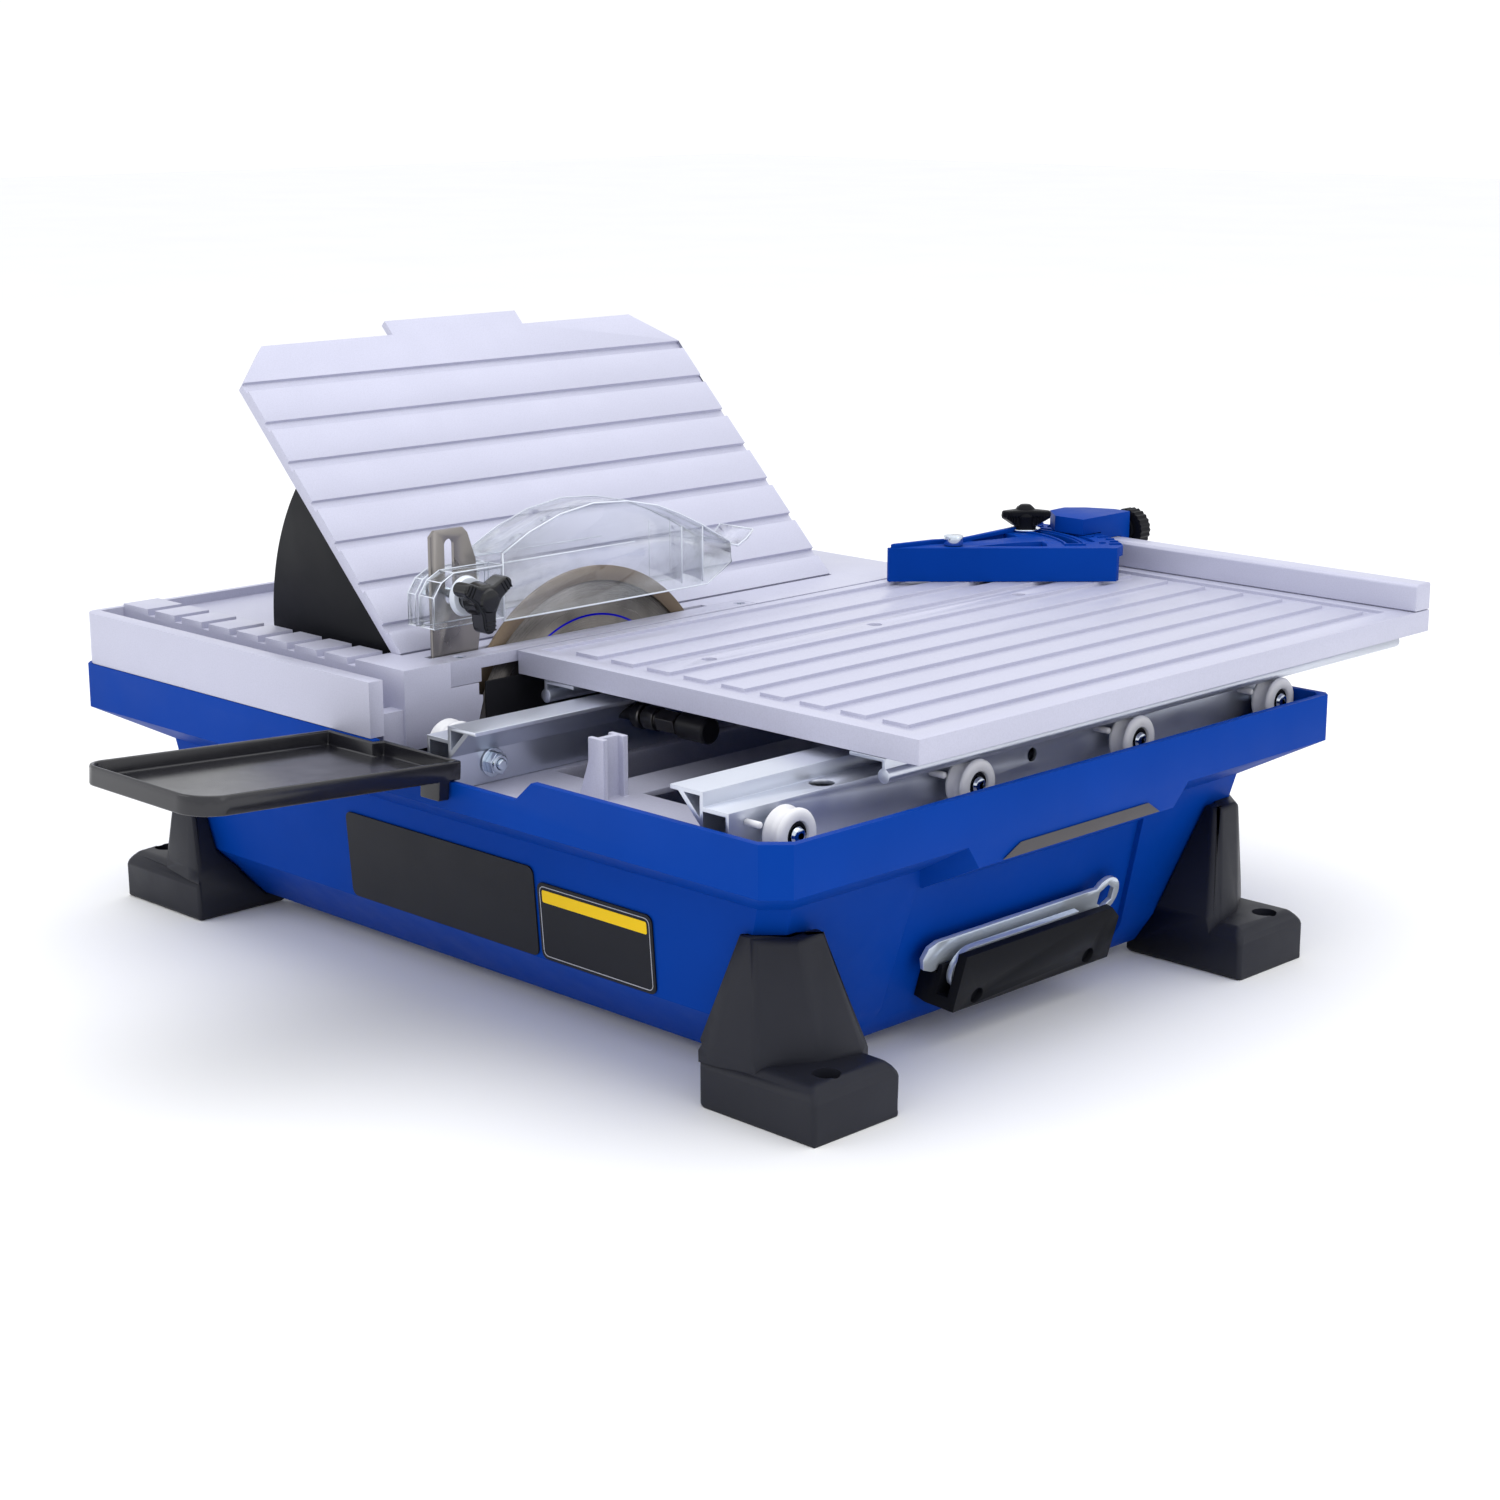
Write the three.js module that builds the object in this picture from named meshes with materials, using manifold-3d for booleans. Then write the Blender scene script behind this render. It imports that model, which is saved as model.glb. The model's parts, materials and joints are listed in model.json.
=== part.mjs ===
// Tabletop wet tile saw with a sliding table, a tilting bevel plate and an angle guide.
// Millimetres, +Z up. X runs across the saw, Y along the cut. The face with the rating plate is
// the front (-Y); the right side (+X) carries the sliding table and the wrench holder.
// Parts are laid out from the middle of the four feet, with z = 0 at their soles. The finished
// group is then moved so that its origin lies under the middle of the overall box.

import * as THREE from 'three';
import { mergeVertices } from 'three/addons/utils/BufferGeometryUtils.js';
import Module from 'manifold-3d';

const wasm = await Module();
wasm.setup();

// ---------------------------------------------------------------- driving dimensions

const GAP = 0.3;                 // between parts that touch
const ORIGIN_SHIFT_Y = 11.5;     // from the middle of the feet to the middle of the overall box
const DEG = Math.PI / 180;

const TABLE_TOP = 170;           // height of both tables above the bench
const BLADE = { diameter: 177.8, kerf: 2.2, bore: 16.3, x: -28.2, y: -48.6, z: 114 };

const TUB = {
  halfX: 266.4, halfY: 209, rimTop: 139.7, bandBottom: 115.2, corner: 4, frontRightCorner: 10.8,
  rimWall: 4, lowerWall: 5, floorThickness: 4,
  // How far the sides (x) and the ends (y) stand in from the rim at each height.
  floor: { x: 65, y: 66, z: 7.5 },
  knee: { x: 53, y: 49.6, z: 25 },
  crease: { x: 49.3, y: 37, z: 38 },     // where the end walls turn into their bottom chamfer
  shoulder: { x: 32.5, y: 32.5, z: 97 }, // where the sloping underside of the band ends
};
const WALL_LEAN = (TUB.knee.x - TUB.shoulder.x) / (TUB.shoulder.z - TUB.knee.z);
const END_LEAN = (TUB.crease.y - TUB.shoulder.y) / (TUB.shoulder.z - TUB.crease.z);

const FOOT = { outerX: 269.3, outerY: 188, innerX: 197, innerY: 131, shelf: 27, chamfer: 5.5, top: 84 };
const FOOT_HOLE = { x: 258, y: 168, r: 6.5 };

const RAIL = { mirrorX: 125.75, inner: 211, outer: 229, bottom: 121.5, top: 146.5, wall: 2,
  webTop: 153.3, lipX: 192.5, front: -200, back: 205 };
const DECK = { left: 2, right: 262, halfY: 204.6, top: RAIL.bottom - GAP, thickness: 3.4, cornerCut: 11.5 };

const ROLLER = { x: 240.8, z: 135, flangeR: 12.3, grooveR: 10.6, width: 11.5, bore: 4.05,
  ys: [-174.5, -53, 70.5, 192.2] };
const TRACK = { barR: 3.5, barZ: 149.5, neck: 2, flange: 1.7, flangeWidth: 22 };

const SLIDER = { left: -10.3, right: 261.8, front: -113.5, back: 308.5, bottom: 158 };
const RIB = { first: 21.5, pitch: 26.2, count: 9, width: 16.3, front: -95, back: 278, depth: 2 };
const FENCE = { front: 294.6, top: 185.4 };

const FIXED = { left: -265, right: -12.3, front: -208.5, back: 208.5, skirt: 140, edge: 4 };
const CHANNEL = { front: -200, back: -185.4, barTop: 168.1, barRight: -10.8, floor: 146 };
const PAD_SLOT = { first: -55, pitch: 25.5, width: 6.6, depth: 3.6, count: 8 };
const RECESS = { left: -250, right: -42.6, front: -163, back: 155, floor: 163.2 };
const OPENING = { left: -172, right: -48, front: -157, bridgeFront: -112, bridgeBack: 16, back: 150 };
const BLADE_SLOT = { left: -31, right: -26.2, front: -158, back: 37 };
const KNIFE = { half: 1 };
const THROAT = { left: -26, right: -12.6, front: -155.7, back: 61.7, seat: 157 };

const BEVEL = { pivotX: -43, pivotZ: TABLE_TOP, rest: 45 * DEG, front: -162.5, back: 154.5,
  length: 203, tab: 213, thickness: 6.3, rib: 26.6, firstRib: 20.2, groove: 5.6, grooveDepth: 2 };
const GUSSET = { radius: 122, thickness: 3, ys: [-153.5, 145] };

const GUIDE = { pivotX: 17, pivotY: 193.8, turn: 45 * DEG, bottom: TABLE_TOP + GAP, top: 189.7,
  plate: 5.7, face: 9.6, bar: 4, slotR: 70.5, slotHalf: 3.4, arcR: 98 };
const TRAY = { left: -43, right: 51.5, outer: -352, inner: -209.8, step: -203, stepX: -7.4,
  leftR: 11, rightR: 17, bottom: 130, height: 9.5, wall: 2.4, floor: 2.2, tilt: 3.5 * DEG };
const WING = { x: 12.5, y: 264.2, turn: 135 * DEG };
const CLAMP = { top: 199.5, skirtFront: 289.4, back: 317, screwX: 44.5, screwZ: 187.5, knobR: 12.5,
  plan: [[29, 272], [50, 272], [50, 317], [38, 317], [22.5, 310], [13, 300.5], [14, 286]] };

// ---------------------------------------------------------------- colours

const paint = (color, roughness, metalness) =>
  new THREE.MeshStandardMaterial({ color, roughness, metalness });
const MATERIAL = {
  bluePlastic: paint(0x003fa6, 0.45, 0),
  blackPlastic: paint(0x24252b, 0.6, 0),
  castAlloy: paint(0xb4b6c2, 0.45, 0.4),
  aluminium: paint(0xd2d6de, 0.3, 0.9),
  steel: paint(0x8f8f8f, 0.3, 0.9),
  zinc: paint(0xb8bfca, 0.3, 0.9),
  nylon: paint(0xeeeeee, 0.5, 0),
  clearPlastic: paint(0xdfe6ee, 0.1, 0),
  labelFilm: paint(0x2b2d33, 0.5, 0),
};

// ---------------------------------------------------------------- solids

/** A closed three.js geometry as a solid that can be joined and cut. */
function solid(geometry) {
  const plain = geometry.clone();
  plain.deleteAttribute('normal');
  plain.deleteAttribute('uv');
  const merged = mergeVertices(plain, 1e-4);
  return new wasm.Manifold(new wasm.Mesh({
    numProp: 3,
    vertProperties: new Float32Array(merged.attributes.position.array),
    triVerts: new Uint32Array(merged.index.array),
  }));
}

/** A solid back as a three.js geometry. */
function geometryOf(body) {
  const mesh = body.getMesh();
  const geometry = new THREE.BufferGeometry();
  geometry.setAttribute('position', new THREE.BufferAttribute(mesh.vertProperties, 3));
  geometry.setIndex(new THREE.BufferAttribute(mesh.triVerts, 1));
  return geometry;
}

function union(...bodies) {
  return bodies.reduce((a, b) => a.add(b));
}

function cut(body, ...tools) {
  return tools.reduce((a, b) => a.subtract(b), body);
}

function box(x0, x1, y0, y1, z0, z1) {
  const geometry = new THREE.BoxGeometry(x1 - x0, y1 - y0, z1 - z0);
  geometry.translate((x0 + x1) / 2, (y0 + y1) / 2, (z0 + z1) / 2);
  return solid(geometry);
}

/** A cylinder from a to b on the named axis, through the point (u, v) of the other two axes in order. */
function rod(axis, r, a, b, u, v, sides = 24) {
  const geometry = new THREE.CylinderGeometry(r, r, b - a, sides);
  const middle = (a + b) / 2;
  if (axis === 'x') {
    geometry.rotateZ(-Math.PI / 2);
    geometry.translate(middle, u, v);
  } else if (axis === 'y') {
    geometry.translate(u, middle, v);
  } else {
    geometry.rotateX(Math.PI / 2);
    geometry.translate(u, v, middle);
  }
  return solid(geometry);
}

function outline(points) {
  return new THREE.Shape(points.map(([u, v]) => new THREE.Vector2(u, v)));
}

function extruded(shape, depth, curveSegments) {
  return new THREE.ExtrudeGeometry(shape, { depth, bevelEnabled: false, curveSegments });
}

/** A shape in (x, y), from z0 up to z1. */
function alongZ(shape, z0, z1, curveSegments = 12) {
  const geometry = extruded(shape, z1 - z0, curveSegments);
  geometry.translate(0, 0, z0);
  return solid(geometry);
}

/** A shape in (y, z), from x0 to x1. */
function alongX(shape, x0, x1, curveSegments = 12) {
  const geometry = extruded(shape, x1 - x0, curveSegments);
  geometry.rotateZ(Math.PI / 2);
  geometry.rotateY(Math.PI / 2);
  geometry.translate(x0, 0, 0);
  return solid(geometry);
}

/** A shape in (x, z), from y0 to y1. */
function alongY(shape, y0, y1, curveSegments = 12) {
  const geometry = extruded(shape, y1 - y0, curveSegments);
  geometry.rotateX(Math.PI / 2);
  geometry.translate(0, y1, 0);
  return solid(geometry);
}

/** A closed solid through rings of the same number of [x, y, z] points, listed from the bottom up. */
function loft(rings) {
  const count = rings[0].length;
  const index = [];
  rings.slice(1).forEach((ring, level) => {
    const low = level * count;
    for (let i = 0; i < count; i += 1) {
      const j = (i + 1) % count;
      index.push(low + i, low + j, low + count + j, low + i, low + count + j, low + count + i);
    }
  });
  const top = (rings.length - 1) * count;
  for (let i = 1; i < count - 1; i += 1) {
    index.push(0, i + 1, i, top, top + i, top + i + 1);
  }
  const geometry = new THREE.BufferGeometry();
  geometry.setAttribute('position', new THREE.Float32BufferAttribute(rings.flat(2), 3));
  geometry.setIndex(index);
  return solid(geometry);
}

/** A solid of revolution about a line along X through (y, z). The profile is [distance along X, radius]. */
function turnedX(profile, y, z, sides = 24) {
  const points = profile.map(([x, r]) => new THREE.Vector2(r, x));
  const geometry = new THREE.LatheGeometry(points, sides);
  geometry.rotateZ(-Math.PI / 2);
  geometry.translate(0, y, z);
  return solid(geometry);
}

/** Turns a body's geometry about a point in the plane across the axis. */
function placed(body, matrix) {
  const geometry = geometryOf(body);
  geometry.applyMatrix4(matrix);
  return geometry;
}

/** The same geometry on the other side of x = 0 or y = 0, with its faces still pointing out. */
function mirrored(geometry, signX, signY) {
  const copy = geometry.clone();
  copy.applyMatrix4(new THREE.Matrix4().makeScale(signX, signY, 1));
  if (signX * signY < 0) {
    const index = copy.index.array;
    for (let i = 0; i < index.length; i += 3) {
      [index[i + 1], index[i + 2]] = [index[i + 2], index[i + 1]];
    }
  }
  return copy;
}

const machine = new THREE.Group();

function addGeometry(name, geometry, material) {
  const mesh = new THREE.Mesh(geometry, material);
  mesh.name = name;
  machine.add(mesh);
  return mesh;
}

function add(name, body, material) {
  return addGeometry(name, geometryOf(body), material);
}

// ---------------------------------------------------------------- tub

/** A rectangle with its corners cut off; the front right corner is cut more than the others. */
function tubRing(inX, inY, z) {
  const x = TUB.halfX - inX;
  const y = TUB.halfY - inY;
  const c = TUB.corner;
  const f = TUB.frontRightCorner;
  return [[c - x, -y, z], [x - f, -y, z], [x, f - y, z], [x, y - c, z],
    [x - c, y, z], [c - x, y, z], [-x, y - c, z], [-x, c - y, z]];
}

/** The tub's filled outer shape, grown outwards by the given amount. */
function tubOuter(grow) {
  const ring = ({ x, y, z }) => tubRing(x - grow, y - grow, z - grow);
  return loft([
    ring(TUB.floor),
    ring(TUB.knee),
    ring(TUB.crease),
    ring(TUB.shoulder),
    tubRing(-grow, -grow, TUB.bandBottom - grow),
    tubRing(-grow, -grow, TUB.rimTop + grow),
  ]);
}

function tubInner() {
  const wall = TUB.lowerWall;
  const rim = TUB.rimWall;
  const ring = ({ x, y, z }) => tubRing(x + wall, y + wall, z + 3);
  return loft([
    tubRing(TUB.floor.x + 3, TUB.floor.y + 3, TUB.floor.z + TUB.floorThickness),
    ring(TUB.knee),
    ring(TUB.crease),
    ring(TUB.shoulder),
    tubRing(rim, rim, TUB.bandBottom + 2.3),
    tubRing(rim, rim, TUB.rimTop + 1),
  ]);
}

/** The part of the right side where the band comes down lower, with slanting ends. */
function deepBand() {
  const section = (x, low, high) =>
    [[x, -76, low], [x, 72, low], [x, 85, high], [x, -84.5, high]];
  return loft([section(222, 82, 100), section(TUB.halfX, 104, TUB.bandBottom + 1)]);
}

/** Everything on the right wall is laid out in the wall's own plane: [out, y, up]. */
function onRightWall() {
  const height = 45;
  const x = TUB.halfX - TUB.knee.x + (height - TUB.knee.z) * WALL_LEAN;
  return new THREE.Matrix4().makeRotationY(Math.atan(WALL_LEAN)).setPosition(x, 0, height);
}

const WALL_PANEL = { front: -79, back: 96, low: -31, high: 44, depth: 3 };

function wallPanel() {
  const p = WALL_PANEL;
  const shape = outline([[p.front - 4, p.low], [p.back + 8, p.low], [p.back, p.high], [p.front, p.high]]);
  return solid(placed(alongX(shape, -p.depth, 8), onRightWall()));
}

/** The dip in the front rim where the tray hooks over. */
function rimDip() {
  const shape = outline([[-8, 129.2], [97, 129.2], [110.6, 141], [-8, 141]]);
  return alongY(shape, -TUB.halfY - 1, -TUB.halfY + 12);
}

const DRAIN = { x: -222, y: 40, z: 34, holeR: 8.3, bossR: 14 };

function makeTub() {
  const boss = rod('x', DRAIN.bossR, DRAIN.x, -200, DRAIN.y, DRAIN.z);
  const outside = union(cut(union(tubOuter(0), deepBand()), wallPanel()), boss);
  const drain = rod('x', DRAIN.holeR, DRAIN.x - 5, -190, DRAIN.y, DRAIN.z);
  add('tub', cut(outside, tubInner(), rimDip(), drain), MATERIAL.bluePlastic);
}

function makeDrainPlug() {
  const profile = [[-232, 0], [-232, 9], [-230, 11], [-222.3, 11], [-222.3, 7.9], [-204, 7.4], [-204, 0]];
  add('drain_plug', turnedX(profile, DRAIN.y, DRAIN.z), MATERIAL.blackPlastic);
}

/** A boot that wraps a corner of the tub, with a bolt-down pad pointing outwards. */
function footBody() {
  const { outerX, outerY, innerX, innerY, shelf, chamfer, top } = FOOT;
  const pad = (grow, z) => [
    [innerX, -outerY + grow, z], [outerX - grow, -outerY + grow, z],
    [outerX - grow, -innerY - grow, z], [innerX, -innerY - grow, z]];
  const leg = (z, points) => points.map(([x, y]) => [x, y, z]);
  const wide = [[innerX, -187.9], [208, -187.5], [231, -185.6], [246.1, -160.7], [252, -138],
    [249, -innerY], [innerX, -innerY]];
  const padBody = loft([pad(0, 0), pad(0, shelf - chamfer), pad(chamfer, shelf)]);
  const legBody = loft([
    leg(0, wide),
    leg(30, wide),
    leg(top, [[214.6, -180], [216, -180.1], [224.5, -180.2], [239.7, -166.5], [240.2, -151.7],
      [238, -149], [214.6, -149]]),
  ]);
  const hole = rod('z', FOOT_HOLE.r, -1, shelf + 1, FOOT_HOLE.x, -FOOT_HOLE.y);
  return cut(union(padBody, legBody), hole);
}

function makeFeet() {
  const corner = geometryOf(footBody());
  const feet = [['foot_right_front', 1, 1], ['foot_left_front', -1, 1],
    ['foot_right_back', 1, -1], ['foot_left_back', -1, -1]];
  feet.forEach(([name, signX, signY]) => {
    add(name, cut(solid(mirrored(corner, signX, signY)), tubOuter(GAP)), MATERIAL.blackPlastic);
  });
}

// ---------------------------------------------------------------- chassis

function makeDeck() {
  const { left, right, halfY, top, thickness, cornerCut } = DECK;
  const bottom = top - thickness;
  const plan = outline([[left, -halfY], [right - cornerCut, -halfY], [right, -halfY + cornerCut],
    [right, halfY - cornerCut], [right - cornerCut, halfY], [left, halfY]]);
  const plate = alongZ(plan, bottom, top);
  const leftOpening = box(45, 81, -138, 150, bottom - 1, top + 1);
  const rightOpening = box(107, 188, -137, 150, bottom - 1, top + 1);
  const splashWall = box(41, 45, -138, 150, 72, bottom + 1);
  const strut = (y0) => box(95, 106, y0, y0 + 3, top - 1, 151);
  const post = union(strut(-161), strut(-148), box(99, 102, -161, -145, top - 1, 151));
  const gusset = alongY(outline([[88, top - 1], [96, top - 1], [96, 142]]), -161, -159);
  const frontLip = box(44, 190, -halfY, -halfY + 3, top - 1, 127);
  add('chassis_deck', union(cut(plate, leftOpening, rightOpening), splashWall, post, gusset, frontLip),
    MATERIAL.castAlloy);
}

/** A rail of square tube with a braced lip; the left rail is the mirror image of the right one. */
function railBody(side) {
  const { inner, outer, bottom, top, wall, webTop, lipX, mirrorX, front, back } = RAIL;
  const section = (points, y0, y1) =>
    alongY(outline(points.map(([x, z]) => [side > 0 ? x : 2 * mirrorX - x, z])), y0, y1);
  const outside = section([
    [outer, bottom], [outer, top], [inner + wall, top], [inner + wall, webTop], [lipX, webTop],
    [lipX, webTop - wall], [lipX + 5, webTop - wall], [inner, 138], [inner, bottom]], front, back);
  const tube = section([[inner + wall, bottom + wall], [outer - wall, bottom + wall],
    [outer - wall, top - wall], [inner + wall, top - wall]], front - 1, back + 1);
  const eye = section([[lipX + 8.6, webTop - wall], [inner, webTop - wall], [inner, 141.4]],
    front - 1, back + 1);
  return cut(outside, tube, eye);
}

const STOP_BOLT = { y: -90, z: 143.3 };

function makeRails() {
  const topHole = rod('z', 6, 140, 150, 221, -133);
  const sideHole = rod('x', 3.5, 226, 235, 7, 136);
  add('rail_right', cut(railBody(1), topHole, sideHole), MATERIAL.aluminium);
  const boltHole = rod('x', 4.3, 40.5, 60, STOP_BOLT.y, STOP_BOLT.z);
  add('rail_left', cut(railBody(-1), boltHole), MATERIAL.aluminium);
}

function makeRollers() {
  const half = ROLLER.width / 2;
  [['right', 1], ['left', -1]].forEach(([sideName, side]) => {
    const centre = side > 0 ? ROLLER.x : 2 * RAIL.mirrorX - ROLLER.x;
    const at = (distance) => centre + side * distance;
    ROLLER.ys.forEach((y, i) => {
      const wheel = [[-half, ROLLER.bore], [-half, ROLLER.flangeR], [-3.2, ROLLER.flangeR],
        [-2, ROLLER.grooveR], [2, ROLLER.grooveR], [3.2, ROLLER.flangeR], [half, ROLLER.flangeR],
        [half, ROLLER.bore], [-half, ROLLER.bore]];
      const geometry = geometryOf(turnedX(wheel, y, ROLLER.z, 24));
      geometry.translate(centre, 0, 0);
      addGeometry(`roller_${sideName}_${i + 1}`, geometry, MATERIAL.nylon);
      const start = side > 0 ? RAIL.outer + GAP : at(-(ROLLER.x - RAIL.outer) + GAP);
      const shankEnds = [start, at(half + 1)].sort((a, b) => a - b);
      const shank = rod('x', 4, ...shankEnds, y, ROLLER.z, 20);
      const headEnds = [at(half + 0.4), at(half + 3)].sort((a, b) => a - b);
      const head = rod('x', 5.6, ...headEnds, y, ROLLER.z, 16);
      add(`roller_axle_${sideName}_${i + 1}`, union(shank, head), MATERIAL.zinc);
    });
  });
}

function makeRailBolt() {
  const nut = rod('x', 5.6, 40.8, 46, -174.6, 131.5, 6);
  const end = rod('x', 2.8, 45, 49, -174.6, 131.5, 16);
  add('rail_bolt', union(nut, end), MATERIAL.zinc);
}

function makeStopBolt() {
  const profile = [[40.8, 0], [40.8, 4], [54.6, 4], [54.6, 6.8], [60, 6.8], [60, 4.5], [61.5, 4.5],
    [61.5, 6.2], [70, 6.2], [70, 4.6], [72, 4.6], [72, 5.6], [85, 5.6], [85, 4.6], [87, 4.6],
    [87, 6.8], [105, 6.8], [106, 5.8], [106, 0]];
  add('table_stop_bolt', turnedX(profile, STOP_BOLT.y, STOP_BOLT.z, 16), MATERIAL.steel);
}

// ---------------------------------------------------------------- fixed table

/** The notches between the pads along the front of the table. */
function padSlots() {
  const { first, pitch, width, depth, count } = PAD_SLOT;
  const slots = [];
  for (let i = 0; i < count; i += 1) {
    const x = first - i * pitch;
    slots.push(box(x - width / 2, x + width / 2, CHANNEL.back - 1, RECESS.front + 1,
      TABLE_TOP - depth, TABLE_TOP + 1));
  }
  return slots;
}

/** What is taken off a square corner at (x, y) to round it, for a corner facing -X and -Y. */
function roundedCorner(x, y, r, z0, z1) {
  return cut(box(x - 1, x + r, y - 1, y + r, z0, z1), rod('z', r, z0 - 1, z1 + 1, x + r, y + r, 32));
}

function makeFixedTable() {
  const { left, right, front, back, skirt, edge } = FIXED;
  const slabBottom = 157;
  const slab = box(left, right, CHANNEL.back, back, slabBottom, TABLE_TOP);
  const bar = box(left, CHANNEL.barRight, front, CHANNEL.front, skirt, CHANNEL.barTop);
  const channelFloor = box(left, right - 12, CHANNEL.front - 1, CHANNEL.back + 1, 140, CHANNEL.floor);
  const channelEnd = box(left, left + edge, CHANNEL.front - 1, CHANNEL.back + 1, skirt, CHANNEL.barTop);
  const frontWall = box(left, right, CHANNEL.back, CHANNEL.back + 6, skirt, slabBottom + 1);
  const leftSkirt = box(left, left + 6, CHANNEL.back, back, skirt, slabBottom + 1);
  const backSkirt = box(left, right, back - 6, back, skirt, slabBottom + 1);
  const noseSide = outline([[CHANNEL.back, 129], [-141, 129], [-135.5, 147], [-135.5, slabBottom + 1],
    [CHANNEL.back, slabBottom + 1]]);
  const nose = alongX(noseSide, -45, right);
  const stepBlock = box(-24, -14, CHANNEL.front + 2, CHANNEL.back + 1, 129, 150);
  const body = union(slab, bar, channelFloor, channelEnd, frontWall, leftSkirt, backSkirt, nose, stepBlock);

  const recess = box(RECESS.left, RECESS.right, RECESS.front, RECESS.back, RECESS.floor, TABLE_TOP + 1);
  const well = (y0, y1) => box(OPENING.left, OPENING.right, y0, y1, 150, TABLE_TOP + 1);
  const frontWell = well(OPENING.front, OPENING.bridgeFront);
  const backWell = well(OPENING.bridgeBack, OPENING.back);
  const lowBorder = box(left + edge, RECESS.left + 1, RECESS.front, back - 14, RECESS.floor, TABLE_TOP + 1);
  const lowEdge = box(left - 1, left + edge + 0.1, front - 1, back - 14, CHANNEL.barTop, TABLE_TOP + 1);
  const corner = roundedCorner(left, front, 8, skirt - 1, TABLE_TOP + 1);
  const slot = box(BLADE_SLOT.left, BLADE_SLOT.right, BLADE_SLOT.front, BLADE_SLOT.back, 120, TABLE_TOP + 1);
  const knifeSlot = box(BLADE.x - KNIFE.half - GAP, BLADE.x + KNIFE.half + GAP, -178, -130, 120, 157.5);
  const throatSeat = box(BLADE_SLOT.right - 0.1, right + 1, THROAT.front - GAP, THROAT.back + GAP,
    THROAT.seat - GAP, TABLE_TOP + 1);
  const bladeSide = box(BLADE_SLOT.right - 0.1, right + 1, -138, 46, 150, TABLE_TOP + 1);
  add('fixed_table', cut(body, recess, frontWell, backWell, lowBorder, lowEdge, corner, slot,
    knifeSlot, throatSeat, bladeSide, ...padSlots()), MATERIAL.castAlloy);
}

function makeThroatPlate() {
  const { left, right, front, back, seat } = THROAT;
  const frontBlock = box(left, right, front, -136, seat, TABLE_TOP);
  const strip = box(left, right, front, back, 164, TABLE_TOP);
  const backBlock = box(left, right, 46, back, seat, TABLE_TOP);
  const screwHole = (y) => rod('z', 3.5, 167.5, TABLE_TOP + 1, -19.5, y);
  add('throat_plate', cut(union(frontBlock, strip, backBlock), screwHole(-144.2), screwHole(55.2)),
    MATERIAL.castAlloy);
}

// ---------------------------------------------------------------- bevel plate

const BEVEL_PIVOT = new THREE.Matrix4().makeTranslation(BEVEL.pivotX, 0, BEVEL.pivotZ);

/** The plate lying flat, with its pivot line at the origin. */
function flatBevelPlate() {
  const { front, back, length, tab, thickness, rib, firstRib, groove, grooveDepth } = BEVEL;
  const plan = outline([[-1, back], [-180, back], [-length, back - 26], [-length, front + 24],
    [-180, front], [-1, front]]);
  const plate = alongZ(plan, -thickness, 0);
  const tabBody = box(-tab, -length + 2, -50, 45, -4, 0);
  const grooves = [];
  for (let i = 0; i < 7; i += 1) {
    const x = -firstRib - i * rib;
    grooves.push(box(x, x + groove, front - 1, back + 1, -grooveDepth, 1));
  }
  return cut(union(plate, tabBody), ...grooves);
}

function makeBevelPlate() {
  const raise = BEVEL_PIVOT.clone().multiply(new THREE.Matrix4().makeRotationY(BEVEL.rest));
  addGeometry('bevel_plate', placed(flatBevelPlate(), raise), MATERIAL.castAlloy);
}

/** A sector about the pivot line that fills the corner below the raised plate. */
function gussetShape() {
  const under = BEVEL.thickness + GAP;
  const low = 6.5;
  const r = GUSSET.radius;
  const startAngle = Math.PI + Math.asin(low / r);
  const endAngle = Math.PI - BEVEL.rest + Math.asin(under / r);
  const shape = new THREE.Shape();
  shape.moveTo(-35, -low);
  shape.lineTo(r * Math.cos(startAngle), r * Math.sin(startAngle));
  shape.absarc(0, 0, r, startAngle, endAngle, true);
  shape.lineTo(-8.5 - under * Math.SQRT1_2, 8.5 - under * Math.SQRT1_2);
  shape.lineTo(-10, -2.2);
  return shape;
}

function makeGussets() {
  [['front', GUSSET.ys[0]], ['back', GUSSET.ys[1]]].forEach(([name, y]) => {
    const body = alongY(gussetShape(), y, y + GUSSET.thickness, 24);
    addGeometry(`bevel_gusset_${name}`, placed(body, BEVEL_PIVOT), MATERIAL.blackPlastic);
  });
}

// ---------------------------------------------------------------- blade drive

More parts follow.
